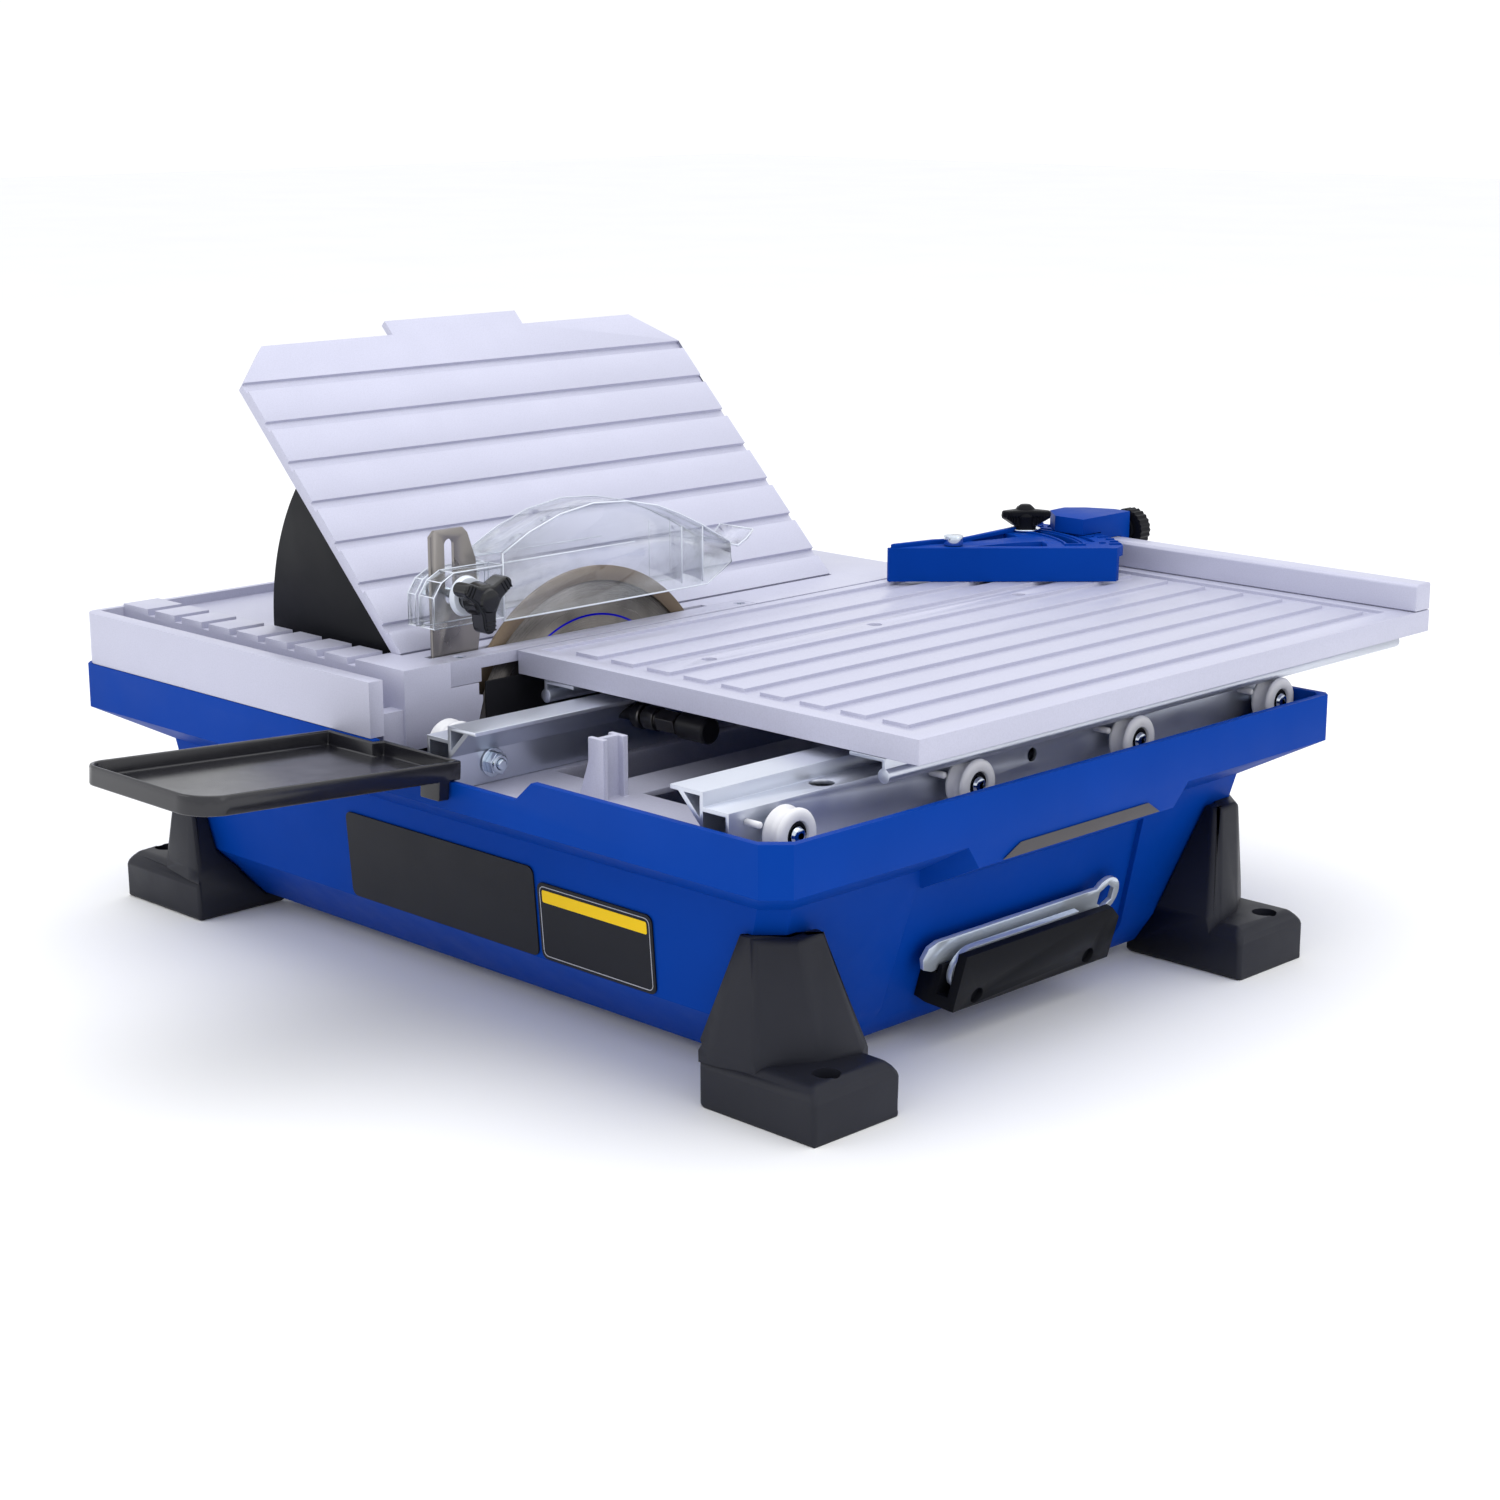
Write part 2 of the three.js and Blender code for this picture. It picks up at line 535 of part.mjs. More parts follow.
function makeDrive() {
  const { x, y, z, kerf, diameter, bore } = BLADE;
  const half = kerf / 2;
  const blade = cut(rod('x', diameter / 2, x - half, x + half, y, z, 96),
    rod('x', bore / 2, x - 5, x + 5, y, z, 32));
  add('blade', blade, MATERIAL.steel);

  const shaftR = bore / 2 - GAP;
  const collar = x - half - GAP;
  add('arbor_shaft', turnedX([[-62, 0], [-62, shaftR], [collar - 4, shaftR], [collar - 4, 22],
    [collar, 22], [collar, shaftR], [-12, shaftR], [-11, shaftR - 1], [-11, 0]], y, z, 32), MATERIAL.steel);
  const flangeStart = x + half + GAP;
  add('blade_flange', cut(rod('x', 22, flangeStart, flangeStart + 3.2, y, z, 32),
    rod('x', bore / 2, -40, 0, y, z, 32)), MATERIAL.steel);
  add('arbor_nut', cut(rod('x', 13, flangeStart + 3.5, flangeStart + 12, y, z, 6),
    rod('x', bore / 2, -40, 0, y, z, 32)), MATERIAL.zinc);
  add('arbor_bearing', cut(rod('x', 16, -47.7, -40, y, z, 32), rod('x', bore / 2, -60, -30, y, z, 32)),
    MATERIAL.steel);

  const housing = turnedX([[-196, 0], [-196, 30], [-190, 36], [-66, 38], [-60, 32], [-60, 20], [-48, 20],
    [-48, 0]], y, z, 36);
  const saddle = box(-180, -80, y - 24, y + 24, 140, 156.6);
  const boreHole = rod('x', bore / 2 + 0.5, -64, -40, y, z, 24);
  add('motor_housing', cut(union(housing, saddle), boreHole), MATERIAL.blackPlastic);
}

// ---------------------------------------------------------------- riving knife and guard

const CLAMP_SCREW = { y: -143, z: 201.5 };

function makeKnife() {
  const shape = outline([[-176, 131], [-146, 131], [-136, 150], [-126, 168], [-124, 180], [-126, 217],
    [-131, 231], [-134, 234], [-152, 234], [-155, 231], [-155, 158], [-176, 150]]);
  const slot = new THREE.Shape();
  slot.absarc(CLAMP_SCREW.y, 226, 3.1, 0, Math.PI, false);
  slot.absarc(CLAMP_SCREW.y, 199, 3.1, Math.PI, 2 * Math.PI, false);
  const blank = alongX(shape, BLADE.x - KNIFE.half, BLADE.x + KNIFE.half);
  add('riving_knife', cut(blank, alongX(slot, BLADE.x - 5, BLADE.x + 5)), MATERIAL.steel);
}

function guardSide(inset) {
  const shape = new THREE.Shape();
  shape.moveTo(-163 + inset, 184);
  shape.lineTo(22 - inset, 184);
  shape.lineTo(22 - inset, 187 + inset / 2);
  shape.lineTo(44 - inset, 196.5 + inset / 2);
  shape.lineTo(59 - 2 * inset, 210.5 - inset / 2);
  shape.lineTo(40 - inset, 209 - inset);
  shape.quadraticCurveTo(-10, 238.5 - inset, -56, 239 - inset);
  shape.quadraticCurveTo(-100, 238.5 - inset, -140, 215 - inset);
  shape.lineTo(-163 + inset, 215 - inset);
  return shape;
}

function makeGuard() {
  const wall = 1.8;
  const halfWidth = 12.8;
  const shell = alongX(guardSide(0), BLADE.x - halfWidth, BLADE.x + halfWidth, 10);
  const inside = alongX(guardSide(wall), BLADE.x - halfWidth + wall, BLADE.x + halfWidth - wall, 10);
  const open = box(BLADE.x - 40, BLADE.x + 40, -200, 100, 180, 185);
  const mouth = box(BLADE.x - halfWidth + wall, BLADE.x + halfWidth - wall, -161, 20, 180, 190);
  const knifeSlit = box(BLADE.x - 2.8, BLADE.x + 2.8, -170, -106, 180, 245);
  const screwHole = rod('x', 3.1, -60, 0, CLAMP_SCREW.y, CLAMP_SCREW.z);
  add('blade_guard', cut(shell, inside, open, mouth, knifeSlit, screwHole), MATERIAL.clearPlastic);
}

/** A hand knob outline with round lobes, about the origin. */
function lobedOutline(lobes, reach, lobeR, hubR) {
  const shape = new THREE.Shape();
  const steps = lobes * 12;
  for (let i = 0; i < steps; i += 1) {
    const angle = (i / steps) * 2 * Math.PI;
    const swell = Math.max(0, Math.cos(lobes * angle)) ** (lobeR / 4);
    const r = hubR + (reach - hubR) * swell;
    const move = i === 0 ? 'moveTo' : 'lineTo';
    shape[move](r * Math.cos(angle), r * Math.sin(angle));
  }
  return shape;
}

function makeGuardHardware() {
  const { y, z } = CLAMP_SCREW;
  const screw = union(rod('x', 2.7, -42, -7, y, z, 16), rod('x', 5.2, -45, -41.3, y, z, 6));
  add('guard_screw', screw, MATERIAL.zinc);
  const lobes = geometryOf(alongX(lobedOutline(3, 15.5, 5, 6.5), -6, 8));
  lobes.rotateX(30 * DEG);
  lobes.translate(0, y, z);
  const stem = rod('x', 6, -15.1, -5, y, z);
  const socket = rod('x', 3, -16, -6.7, y, z, 16);
  add('guard_knob', cut(union(solid(lobes), stem), socket), MATERIAL.blackPlastic);
}

// ---------------------------------------------------------------- sliding table

function makeSlidingTable() {
  const { left, right, front, back, bottom } = SLIDER;
  const low = TABLE_TOP - RIB.depth;
  const slab = box(left, right, front, back, bottom, low);
  const frame = cut(box(left, right, front, back, low - 1, TABLE_TOP),
    box(left + 7, 248, front + 10, 286, low - 2, TABLE_TOP + 1));
  const ribs = [];
  for (let i = 0; i < RIB.count; i += 1) {
    const x = RIB.first + i * RIB.pitch;
    ribs.push(box(x - RIB.width / 2, x + RIB.width / 2, RIB.front, RIB.back, low - 1, TABLE_TOP));
  }
  const pocket = box(40, 211, front + 6, FENCE.front - 6, bottom - 1, 164);
  const holes = [-59.5, 64, 184].map((y) => rod('z', 4, 166, TABLE_TOP + 1, 73.9, y, 16));
  add('sliding_table', cut(union(slab, frame, ...ribs), pocket, ...holes), MATERIAL.castAlloy);
  const rail = outline([[FENCE.front, TABLE_TOP + GAP], [back, TABLE_TOP + GAP], [back, FENCE.top - 1],
    [back - 1, FENCE.top], [FENCE.front + 1.5, FENCE.top], [FENCE.front, FENCE.top - 1.5]]);
  add('fence', alongX(rail, left, right), MATERIAL.castAlloy);
}

function makeTracks() {
  const top = SLIDER.bottom - GAP;
  const { barR, barZ, neck, flange, flangeWidth } = TRACK;
  [['right', 1], ['left', -1]].forEach(([name, side]) => {
    const x = side > 0 ? ROLLER.x : 2 * RAIL.mirrorX - ROLLER.x;
    const span = (a, b) => [x + side * a, x + side * b].sort((p, q) => p - q);
    const bar = rod('y', barR, SLIDER.front, SLIDER.back, x, barZ, 20);
    const [n0, n1] = span(-neck / 2, neck / 2);
    const [f0, f1] = span(-flangeWidth + neck / 2, neck / 2);
    const web = box(n0, n1, SLIDER.front, SLIDER.back, barZ, top);
    const foot = box(f0, f1, SLIDER.front, SLIDER.back, top - flange, top);
    add(`track_${name}`, union(bar, web, foot), MATERIAL.aluminium);
  });
}

// ---------------------------------------------------------------- angle guide

/** The guide in its own frame: pivot at the origin, long face along +X. */
function guidePlan() {
  const { face, arcR } = GUIDE;
  const shape = new THREE.Shape();
  shape.moveTo(-37.5, -face);
  shape.lineTo(93.3, -face);
  shape.absarc(0, 0, arcR, 0, 54 * DEG, false);
  shape.lineTo(54, 69);
  shape.absarc(0, 0, 56, 58 * DEG, 62 * DEG, false);
  shape.lineTo(4, 13);
  shape.lineTo(-12, 8.5);
  shape.lineTo(-38.5, -7.5);
  return shape;
}

function arcSlot(radius, halfWidth, fromDeg, toDeg) {
  const slot = new THREE.Shape();
  slot.absarc(0, 0, radius + halfWidth, fromDeg * DEG, toDeg * DEG, false);
  slot.absarc(0, 0, radius - halfWidth, toDeg * DEG, fromDeg * DEG, true);
  return slot;
}

function makeGuide() {
  const { pivotX, pivotY, turn, bottom, top, plate, face, bar, slotR, slotHalf } = GUIDE;
  const block = alongZ(guidePlan(), bottom, top, 16);
  const inner = bar - face;
  const under = outline([[-27.6, inner], [110, inner], [110, 110], [0, 110], [0, 7.8], [-10.5, 4.8]]);
  const hollow = alongZ(under, bottom - 1, top - plate);
  const slot = alongZ(arcSlot(slotR, slotHalf, 1, 51.5), bottom, top + 1, 16);
  const pinHole = rod('z', 4.3, bottom - 1, top + 1, 0, 0);
  const place = new THREE.Matrix4().makeRotationZ(turn).setPosition(pivotX, pivotY, 0);
  addGeometry('guide_body', placed(cut(block, hollow, slot, pinHole), place), MATERIAL.bluePlastic);

  const head = rod('z', 5.6, top + GAP, top + 6, pivotX, pivotY, 20);
  add('guide_pivot_pin', union(rod('z', 4, 180, top + 1, pivotX, pivotY, 20), head), MATERIAL.zinc);

  const lobes = geometryOf(alongZ(lobedOutline(3, 16, 5, 7), top + 3.5, top + 13.5));
  lobes.rotateZ(WING.turn);
  lobes.translate(WING.x, WING.y, 0);
  const hub = rod('z', 6.8, top + 1.6, top + 15, WING.x, WING.y);
  const washer = rod('z', 8.5, top + GAP, top + 2, WING.x, WING.y, 28);
  const stud = rod('z', 3, 180, top + 1, WING.x, WING.y, 16);
  add('guide_wing_knob', union(solid(lobes), hub, washer, stud), MATERIAL.blackPlastic);
}

/** The block that straddles the fence, and the arm under the guide that carries its pivot. */
function makeGuideClamp() {
  const { top, skirtFront, back, plan, screwX, screwZ, knobR } = CLAMP;
  const { pivotX, pivotY, arcR, bottom } = GUIDE;
  const block = alongZ(outline(plan), bottom, top);
  const fenceSeat = box(-10, 60, FENCE.front - GAP, SLIDER.back + GAP, bottom - 1, FENCE.top + GAP);
  const inFront = box(-10, 60, 260, skirtFront, bottom - 1, GUIDE.top + 0.5);
  const arm = box(pivotX - 5, pivotX + 5, pivotY, FENCE.front - GAP, bottom + 1.5, 183);
  const armEnd = rod('z', 5, bottom + 1.5, 183, pivotX, pivotY);
  const studBoss = rod('z', 5.4, bottom + 1.5, 183, WING.x, WING.y);
  const body = union(cut(block, fenceSeat, inFront), arm, armEnd, studBoss);
  const sweep = rod('z', arcR + 0.7, 183.5, GUIDE.top + 0.5, pivotX, pivotY, 96);
  const pinSeat = rod('z', 4 + GAP, 179.5, 190, pivotX, pivotY);
  const studSeat = rod('z', 3 + GAP, 179.5, 190, WING.x, WING.y);
  const screwSeat = rod('y', 3 + GAP, SLIDER.back - 1, back + 1, screwX, screwZ);
  add('guide_clamp', cut(body, sweep, pinSeat, studSeat, screwSeat), MATERIAL.bluePlastic);

  const fluted = geometryOf(alongY(lobedOutline(8, knobR, 3, knobR - 1.5), back + 3, 329));
  fluted.translate(screwX, 0, screwZ);
  const collar = rod('y', 7, back + GAP, back + 4, screwX, screwZ);
  const screw = rod('y', 3, SLIDER.back + GAP, back + 1, screwX, screwZ, 16);
  add('guide_clamp_knob', union(solid(fluted), collar, screw), MATERIAL.blackPlastic);
}

// ---------------------------------------------------------------- tray and wrenches

/** The tray's plan: round outer corners, and an inner end that steps round the fixed table. */
function trayPlan(inset) {
  const { left, right, outer, inner, step, stepX, leftR, rightR } = TRAY;
  const x0 = left + inset;
  const x1 = right - inset;
  const y0 = outer + inset;
  const shape = new THREE.Shape();
  shape.moveTo(x0, inner - inset);
  shape.lineTo(x0, y0 + leftR - inset);
  shape.absarc(left + leftR, outer + leftR, leftR - inset, Math.PI, 1.5 * Math.PI, false);
  shape.lineTo(right - rightR, y0);
  shape.absarc(right - rightR, outer + rightR, rightR - inset, -0.5 * Math.PI, 0, false);
  shape.lineTo(x1, step - inset);
  shape.lineTo(stepX + inset, step - inset);
  shape.lineTo(stepX + inset, inner - inset);
  return shape;
}

/** The tray hangs on the tub's rim and rises slightly outwards, so that water runs back. */
function makeTray() {
  const { inner, right, bottom, height, wall, floor, tilt } = TRAY;
  const body = alongZ(trayPlan(0), 0, height, 8);
  const hollow = alongZ(trayPlan(wall), floor, height + 1, 8);
  const hook = box(right - 14, right, inner - 7, inner, -9, 1);
  const place = new THREE.Matrix4().makeTranslation(0, inner, bottom)
    .multiply(new THREE.Matrix4().makeRotationX(-tilt))
    .multiply(new THREE.Matrix4().makeTranslation(0, -inner, 0));
  addGeometry('splash_tray', placed(cut(union(body, hook), hollow), place), MATERIAL.blackPlastic);
}

function makeWrenchHolder() {
  const side = outline([[-56, -22], [70, -22], [70, 2], [62, 9], [-52, 9], [-56, 4]]);
  const block = alongX(side, GAP - WALL_PANEL.depth, 18);
  const slantedEnd = alongZ(outline([[2, -57], [19, -50], [19, -60]]), -30, 20);
  const innerSlot = box(1.5, 6.5, -100, 100, -5, 20);
  const outerSlot = box(8.5, 14, -100, 100, -15.5, 20);
  const behind = box(-10, 1.6, -100, 100, 2, 20);
  const between = box(6.4, 8.6, -100, 100, 0, 20);
  const screwHoles = [-34.5, 51.8].map((y) => rod('x', 4.3, 15, 20, y, -16.5, 16));
  addGeometry('wrench_holder', placed(cut(block, slantedEnd, innerSlot, outerSlot, behind, between,
    ...screwHoles), onRightWall()), MATERIAL.blackPlastic);
}

function makeWrenches() {
  const ringBar = outline([[-58, -4.3], [-64, -2], [-66.5, 4], [-64, 10], [-58, 12.2], [66, 12.2],
    [66, -3.6]]);
  const ringWrench = cut(union(alongX(ringBar, 2.6, 5.2), rod('x', 10.6, 2.6, 5.2, 73, 6.3, 28)),
    rod('x', 6.6, 0, 8, 73, 6.3, 6));
  addGeometry('wrench_ring', placed(ringWrench, onRightWall()), MATERIAL.zinc);
  const flatBar = outline([[-40, -14.5], [36, -14.5], [41, -9], [41, 9.2], [-40, 9.2]]);
  const discWrench = cut(union(alongX(flatBar, 9.6, 12.8), rod('x', 11.8, 9.6, 12.8, -40, -2.6, 28)),
    rod('x', 5, 8, 14, -40, -2.6, 6));
  addGeometry('wrench_flat', placed(discWrench, onRightWall()), MATERIAL.zinc);
}

// ---------------------------------------------------------------- plates, switch and inlet

/** Two plates side by side on the front wall, with a step where the smaller one begins. */
function makeRatingPlate() {
  const z = 60;
  const y = -TUB.halfY + TUB.crease.y - (z - TUB.crease.z) * END_LEAN;
  const place = new THREE.Matrix4().makeRotationX(Math.atan(END_LEAN)).setPosition(0, y, z);
  const face = outline([[-76.5, -21.2], [154, -21.2], [154, 18.5], [71.5, 18.5], [71.5, 25], [-76.5, 25]]);
  addGeometry('rating_plate', placed(alongY(face, -1.1, -GAP), place), MATERIAL.labelFilm);
}

function makeSideTrim() {
  const shape = outline([[-60, 104.6], [60, 104.6], [50.5, 110.8], [-47, 110.8]]);
  add('side_trim', alongX(shape, TUB.halfX + GAP, TUB.halfX + 1.1), MATERIAL.blackPlastic);
}

const SWITCH = { x: -170, z: 127 };

function makeSwitch() {
  const back = TUB.halfY + GAP;
  const housing = box(SWITCH.x - 24, SWITCH.x + 24, back, back + 14, SWITCH.z - 11, SWITCH.z + 11);
  const well = box(SWITCH.x - 13.5, SWITCH.x + 13.5, back + 4, back + 15, SWITCH.z - 7.5, SWITCH.z + 7.5);
  add('switch_box', cut(housing, well), MATERIAL.blackPlastic);
  const side = outline([[-12.6, 0], [12.6, 0], [12.6, 7.5], [1, 6.8], [-12.6, 10]]
    .map(([x, y]) => [SWITCH.x + x, back + 5.5 + y]));
  add('switch_rocker', alongZ(side, SWITCH.z - 7, SWITCH.z + 7), MATERIAL.bluePlastic);
}

function makeCordInlet() {
  const start = TUB.halfY + GAP;
  const profile = [[0, 0], [0, 10], [3, 10], [3, 8], [14, 6.5], [14, 0]];
  const geometry = geometryOf(turnedX(profile, 0, 0));
  geometry.rotateZ(Math.PI / 2);
  geometry.translate(-222, start, SWITCH.z);
  const bore = rod('y', 4, start + 4, start + 20, -222, SWITCH.z, 16);
  add('cord_inlet_gland', cut(solid(geometry), bore), MATERIAL.blackPlastic);
}

// ---------------------------------------------------------------- assembly

makeTub();
makeDrainPlug();
makeFeet();
makeDeck();
makeRails();
makeRollers();
makeRailBolt();
makeStopBolt();
makeFixedTable();
makeThroatPlate();
makeBevelPlate();
makeGussets();
makeDrive();
makeKnife();
makeGuard();
makeGuardHardware();
makeSlidingTable();
makeTracks();
makeGuide();
makeGuideClamp();
makeTray();
makeWrenchHolder();
makeWrenches();
makeRatingPlate();
makeSideTrim();
makeSwitch();
makeCordInlet();

machine.position.y = ORIGIN_SHIFT_Y;

const group = new THREE.Group();
group.add(machine);

export default group;
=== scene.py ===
import json
import math

import bmesh
import bpy
from mathutils import Matrix, Vector


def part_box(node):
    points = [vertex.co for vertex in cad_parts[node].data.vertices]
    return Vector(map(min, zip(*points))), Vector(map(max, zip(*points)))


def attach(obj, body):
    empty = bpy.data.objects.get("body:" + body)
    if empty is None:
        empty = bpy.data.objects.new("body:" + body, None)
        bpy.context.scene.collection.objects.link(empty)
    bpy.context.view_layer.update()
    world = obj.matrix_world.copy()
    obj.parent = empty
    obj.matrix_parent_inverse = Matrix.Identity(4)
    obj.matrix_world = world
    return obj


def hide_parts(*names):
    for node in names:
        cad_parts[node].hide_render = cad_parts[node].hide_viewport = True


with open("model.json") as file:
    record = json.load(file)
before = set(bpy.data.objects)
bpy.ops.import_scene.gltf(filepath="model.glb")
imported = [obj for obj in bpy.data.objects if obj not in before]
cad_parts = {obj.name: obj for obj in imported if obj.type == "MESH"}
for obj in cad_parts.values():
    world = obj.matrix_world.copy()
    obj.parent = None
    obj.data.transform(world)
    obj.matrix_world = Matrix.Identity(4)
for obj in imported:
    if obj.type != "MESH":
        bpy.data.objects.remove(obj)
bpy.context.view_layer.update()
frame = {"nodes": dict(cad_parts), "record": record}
NODES = frame["nodes"]
MM = 0.001
SHIFT_Y = 0.0115     # from the machine's own middle to the middle of the overall box
DEG = math.pi / 180


def at(x, y, z):
    """A point given in millimetres from the middle of the feet."""
    return Vector((x * MM, y * MM + SHIFT_Y, z * MM))


def middle(name):
    """The middle of a CAD node's box, in millimetres from the middle of the feet."""
    low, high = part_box(name)
    centre = (Vector(low) + Vector(high)) / 2
    return Vector((centre.x, centre.y - SHIFT_Y, centre.z)) / MM


def extent(name):
    """The low and high corners of a CAD node's box, in the same millimetres."""
    return [Vector((c[0], c[1] - SHIFT_Y, c[2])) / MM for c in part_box(name)]


# ------------------------------------------------------------------ materials

def new_material(name):
    material = bpy.data.materials.new(name)
    material.use_nodes = True
    tree = material.node_tree
    return material, tree, tree.nodes["Principled BSDF"]


def node(tree, kind, **values):
    made = tree.nodes.new(kind)
    for key, value in values.items():
        if key in made.inputs:
            made.inputs[key].default_value = value
        else:
            setattr(made, key, value)
    return made


def noise(tree, coords, scale, detail=4.0, roughness=0.6):
    made = node(tree, "ShaderNodeTexNoise", Scale=scale, Detail=detail, Roughness=roughness)
    tree.links.new(coords, made.inputs["Vector"])
    return made.outputs["Fac"]


def ramp(tree, factor, low, high, a, b):
    """A grey level that goes from a to b while the factor goes from low to high."""
    made = node(tree, "ShaderNodeMapRange")
    for key, value in (("From Min", low), ("From Max", high), ("To Min", a), ("To Max", b)):
        made.inputs[key].default_value = value
    tree.links.new(factor, made.inputs["Value"])
    return made.outputs["Result"]


def mix(tree, factor, a, b):
    made = node(tree, "ShaderNodeMix", data_type="RGBA")
    for socket, value in ((made.inputs[0], factor), (made.inputs[6], a), (made.inputs[7], b)):
        if isinstance(value, bpy.types.NodeSocket):
            tree.links.new(value, socket)
        else:
            socket.default_value = value
    return made.outputs[2]


def shade(color, k):
    return tuple(min(1.0, c * k) for c in color[:3]) + (1.0,)


def add_bump(tree, bsdf, height, strength, distance):
    made = node(tree, "ShaderNodeBump", Strength=strength, Distance=distance)
    tree.links.new(height, made.inputs["Height"])
    tree.links.new(made.outputs["Normal"], bsdf.inputs["Normal"])


def surface(name, color, rough, metallic=0.0, patch=0.04, grain=900.0, depth=0.00001,
            spread=0.05, fleck=0.0, specular=0.5, stretch=(1, 1, 1)):
    """A surface with slow colour patches, fine grain, and roughness that wanders."""
    material, tree, bsdf = new_material(name)
    coords = node(tree, "ShaderNodeTexCoord").outputs["Object"]
    squeeze = node(tree, "ShaderNodeMapping", Scale=stretch)
    tree.links.new(coords, squeeze.inputs["Vector"])
    slow = noise(tree, coords, 9.0)
    fine = noise(tree, squeeze.outputs["Vector"], grain, detail=2.0)
    base = mix(tree, ramp(tree, slow, 0.35, 0.65, 0.0, 1.0), shade(color, 1 - patch), shade(color, 1 + patch))
    if fleck:
        base = mix(tree, ramp(tree, fine, 0.4, 0.7, 0.0, fleck), base, shade(color, 0.75))
    tree.links.new(base, bsdf.inputs["Base Color"])
    rub = noise(tree, coords, 40.0)
    tree.links.new(ramp(tree, rub, 0.3, 0.7, rough - spread, rough + spread), bsdf.inputs["Roughness"])
    bsdf.inputs["Metallic"].default_value = metallic
    bsdf.inputs["Specular IOR Level"].default_value = specular
    add_bump(tree, bsdf, fine, 0.25, depth)
    return material


BLUE = surface("blue_plastic", (0.0, 0.041, 0.30), 0.5, patch=0.05, grain=1400.0, specular=0.05)
BLACK = surface("black_plastic", (0.005, 0.0055, 0.008), 0.42, patch=0.1, grain=1200.0, depth=0.00002,
                specular=0.1)
TRAY = surface("tray_plastic", (0.010, 0.010, 0.014), 0.2, patch=0.1, grain=900.0, specular=0.55)
FOOT = surface("foot_plastic", (0.012, 0.013, 0.020), 0.5, patch=0.12, grain=900.0, depth=0.00005,
               specular=0.25)
GLOSS_BLACK = surface("knob_plastic", (0.004, 0.0045, 0.006), 0.16, patch=0.08, grain=700.0, specular=0.4)
CAST = surface("cast_alloy", (0.51, 0.515, 0.635), 0.42, metallic=0.2, patch=0.02, grain=1300.0,
               depth=0.00001, fleck=0.3)
EXTRUSION = surface("bright_aluminium", (0.60, 0.63, 0.71), 0.36, metallic=0.9, patch=0.03, grain=500.0,
                    depth=0.000004, stretch=(1, 0.03, 1))
NYLON = surface("white_nylon", (0.74, 0.74, 0.77), 0.38, patch=0.015, grain=900.0)
ZINC = surface("zinc_steel", (0.60, 0.66, 0.74), 0.16, metallic=1.0, patch=0.08, grain=300.0)
CHROME = surface("chrome_steel", (0.66, 0.72, 0.80), 0.2, metallic=0.55, patch=0.05, grain=300.0)
STEEL = surface("bare_steel", (0.23, 0.215, 0.205), 0.3, metallic=1.0, patch=0.1, grain=500.0,
                stretch=(1, 0.06, 1))
DARK_STEEL = surface("dark_steel", (0.13, 0.125, 0.12), 0.32, metallic=1.0, patch=0.12, grain=500.0)
MOTOR = surface("motor_black", (0.010, 0.010, 0.013), 0.5, grain=700.0, specular=0.3)
FILM = surface("plate_film", (0.010, 0.011, 0.016), 0.4, grain=300.0, patch=0.05, specular=0.15)
BORDER = surface("plate_border", (0.42, 0.43, 0.48), 0.4, grain=300.0, patch=0.03)
YELLOW = surface("plate_yellow", (0.85, 0.55, 0.002), 0.4, grain=300.0, patch=0.03, specular=0.2)
SCREEN = surface("screen_grey", (0.055, 0.05, 0.055), 0.5, grain=300.0, patch=0.05)
RIM = surface("diamond_rim", (0.20, 0.15, 0.10), 0.55, metallic=0.5, patch=0.25, grain=2600.0,
              depth=0.00005, fleck=0.5)
# A light, nearly opaque colour for the clear guard's edge tubes and boss: painted highlight of the glints
# where light catches the clear plastic's edges.
GLINT_EDGE = surface("painted_glint_edge", (0.72, 0.76, 0.84), 0.16, patch=0.1, grain=300.0, specular=0.6)


def blade_material():
    """Ground steel with rings of grinding marks and one thin printed ring."""
    material, tree, bsdf = new_material("blade_face")
    coords = node(tree, "ShaderNodeTexCoord").outputs["Object"]
    centre = middle("blade")
    shift = node(tree, "ShaderNodeMapping")
    shift.inputs["Location"].default_value = -at(*centre)
    tree.links.new(coords, shift.inputs["Vector"])
    parts = node(tree, "ShaderNodeSeparateXYZ")
    tree.links.new(shift.outputs["Vector"], parts.inputs[0])
    flat = node(tree, "ShaderNodeCombineXYZ")
    tree.links.new(parts.outputs["Y"], flat.inputs["Y"])
    tree.links.new(parts.outputs["Z"], flat.inputs["Z"])
    length = node(tree, "ShaderNodeVectorMath", operation="LENGTH")
    tree.links.new(flat.outputs[0], length.inputs[0])
    radius = length.outputs["Value"]
    near_ring = node(tree, "ShaderNodeMath", operation="COMPARE")
    tree.links.new(radius, near_ring.inputs[0])
    near_ring.inputs[1].default_value = 0.0628
    near_ring.inputs[2].default_value = 0.00055
    cloud = noise(tree, coords, 30.0)
    steel = mix(tree, ramp(tree, cloud, 0.3, 0.7, 0.0, 1.0), (0.08, 0.074, 0.07, 1), (0.19, 0.176, 0.168, 1))
    tree.links.new(mix(tree, near_ring.outputs[0], steel, (0.0, 0.0, 0.30, 1)), bsdf.inputs["Base Color"])
    ringed = node(tree, "ShaderNodeCombineXYZ")
    tree.links.new(radius, ringed.inputs["X"])
    marks = noise(tree, ringed.outputs[0], 1800.0, detail=2.0)
    tree.links.new(ramp(tree, marks, 0.3, 0.7, 0.22, 0.4), bsdf.inputs["Roughness"])
    bsdf.inputs["Metallic"].default_value = 1.0
    add_bump(tree, bsdf, marks, 0.2, 0.00001)
    return material


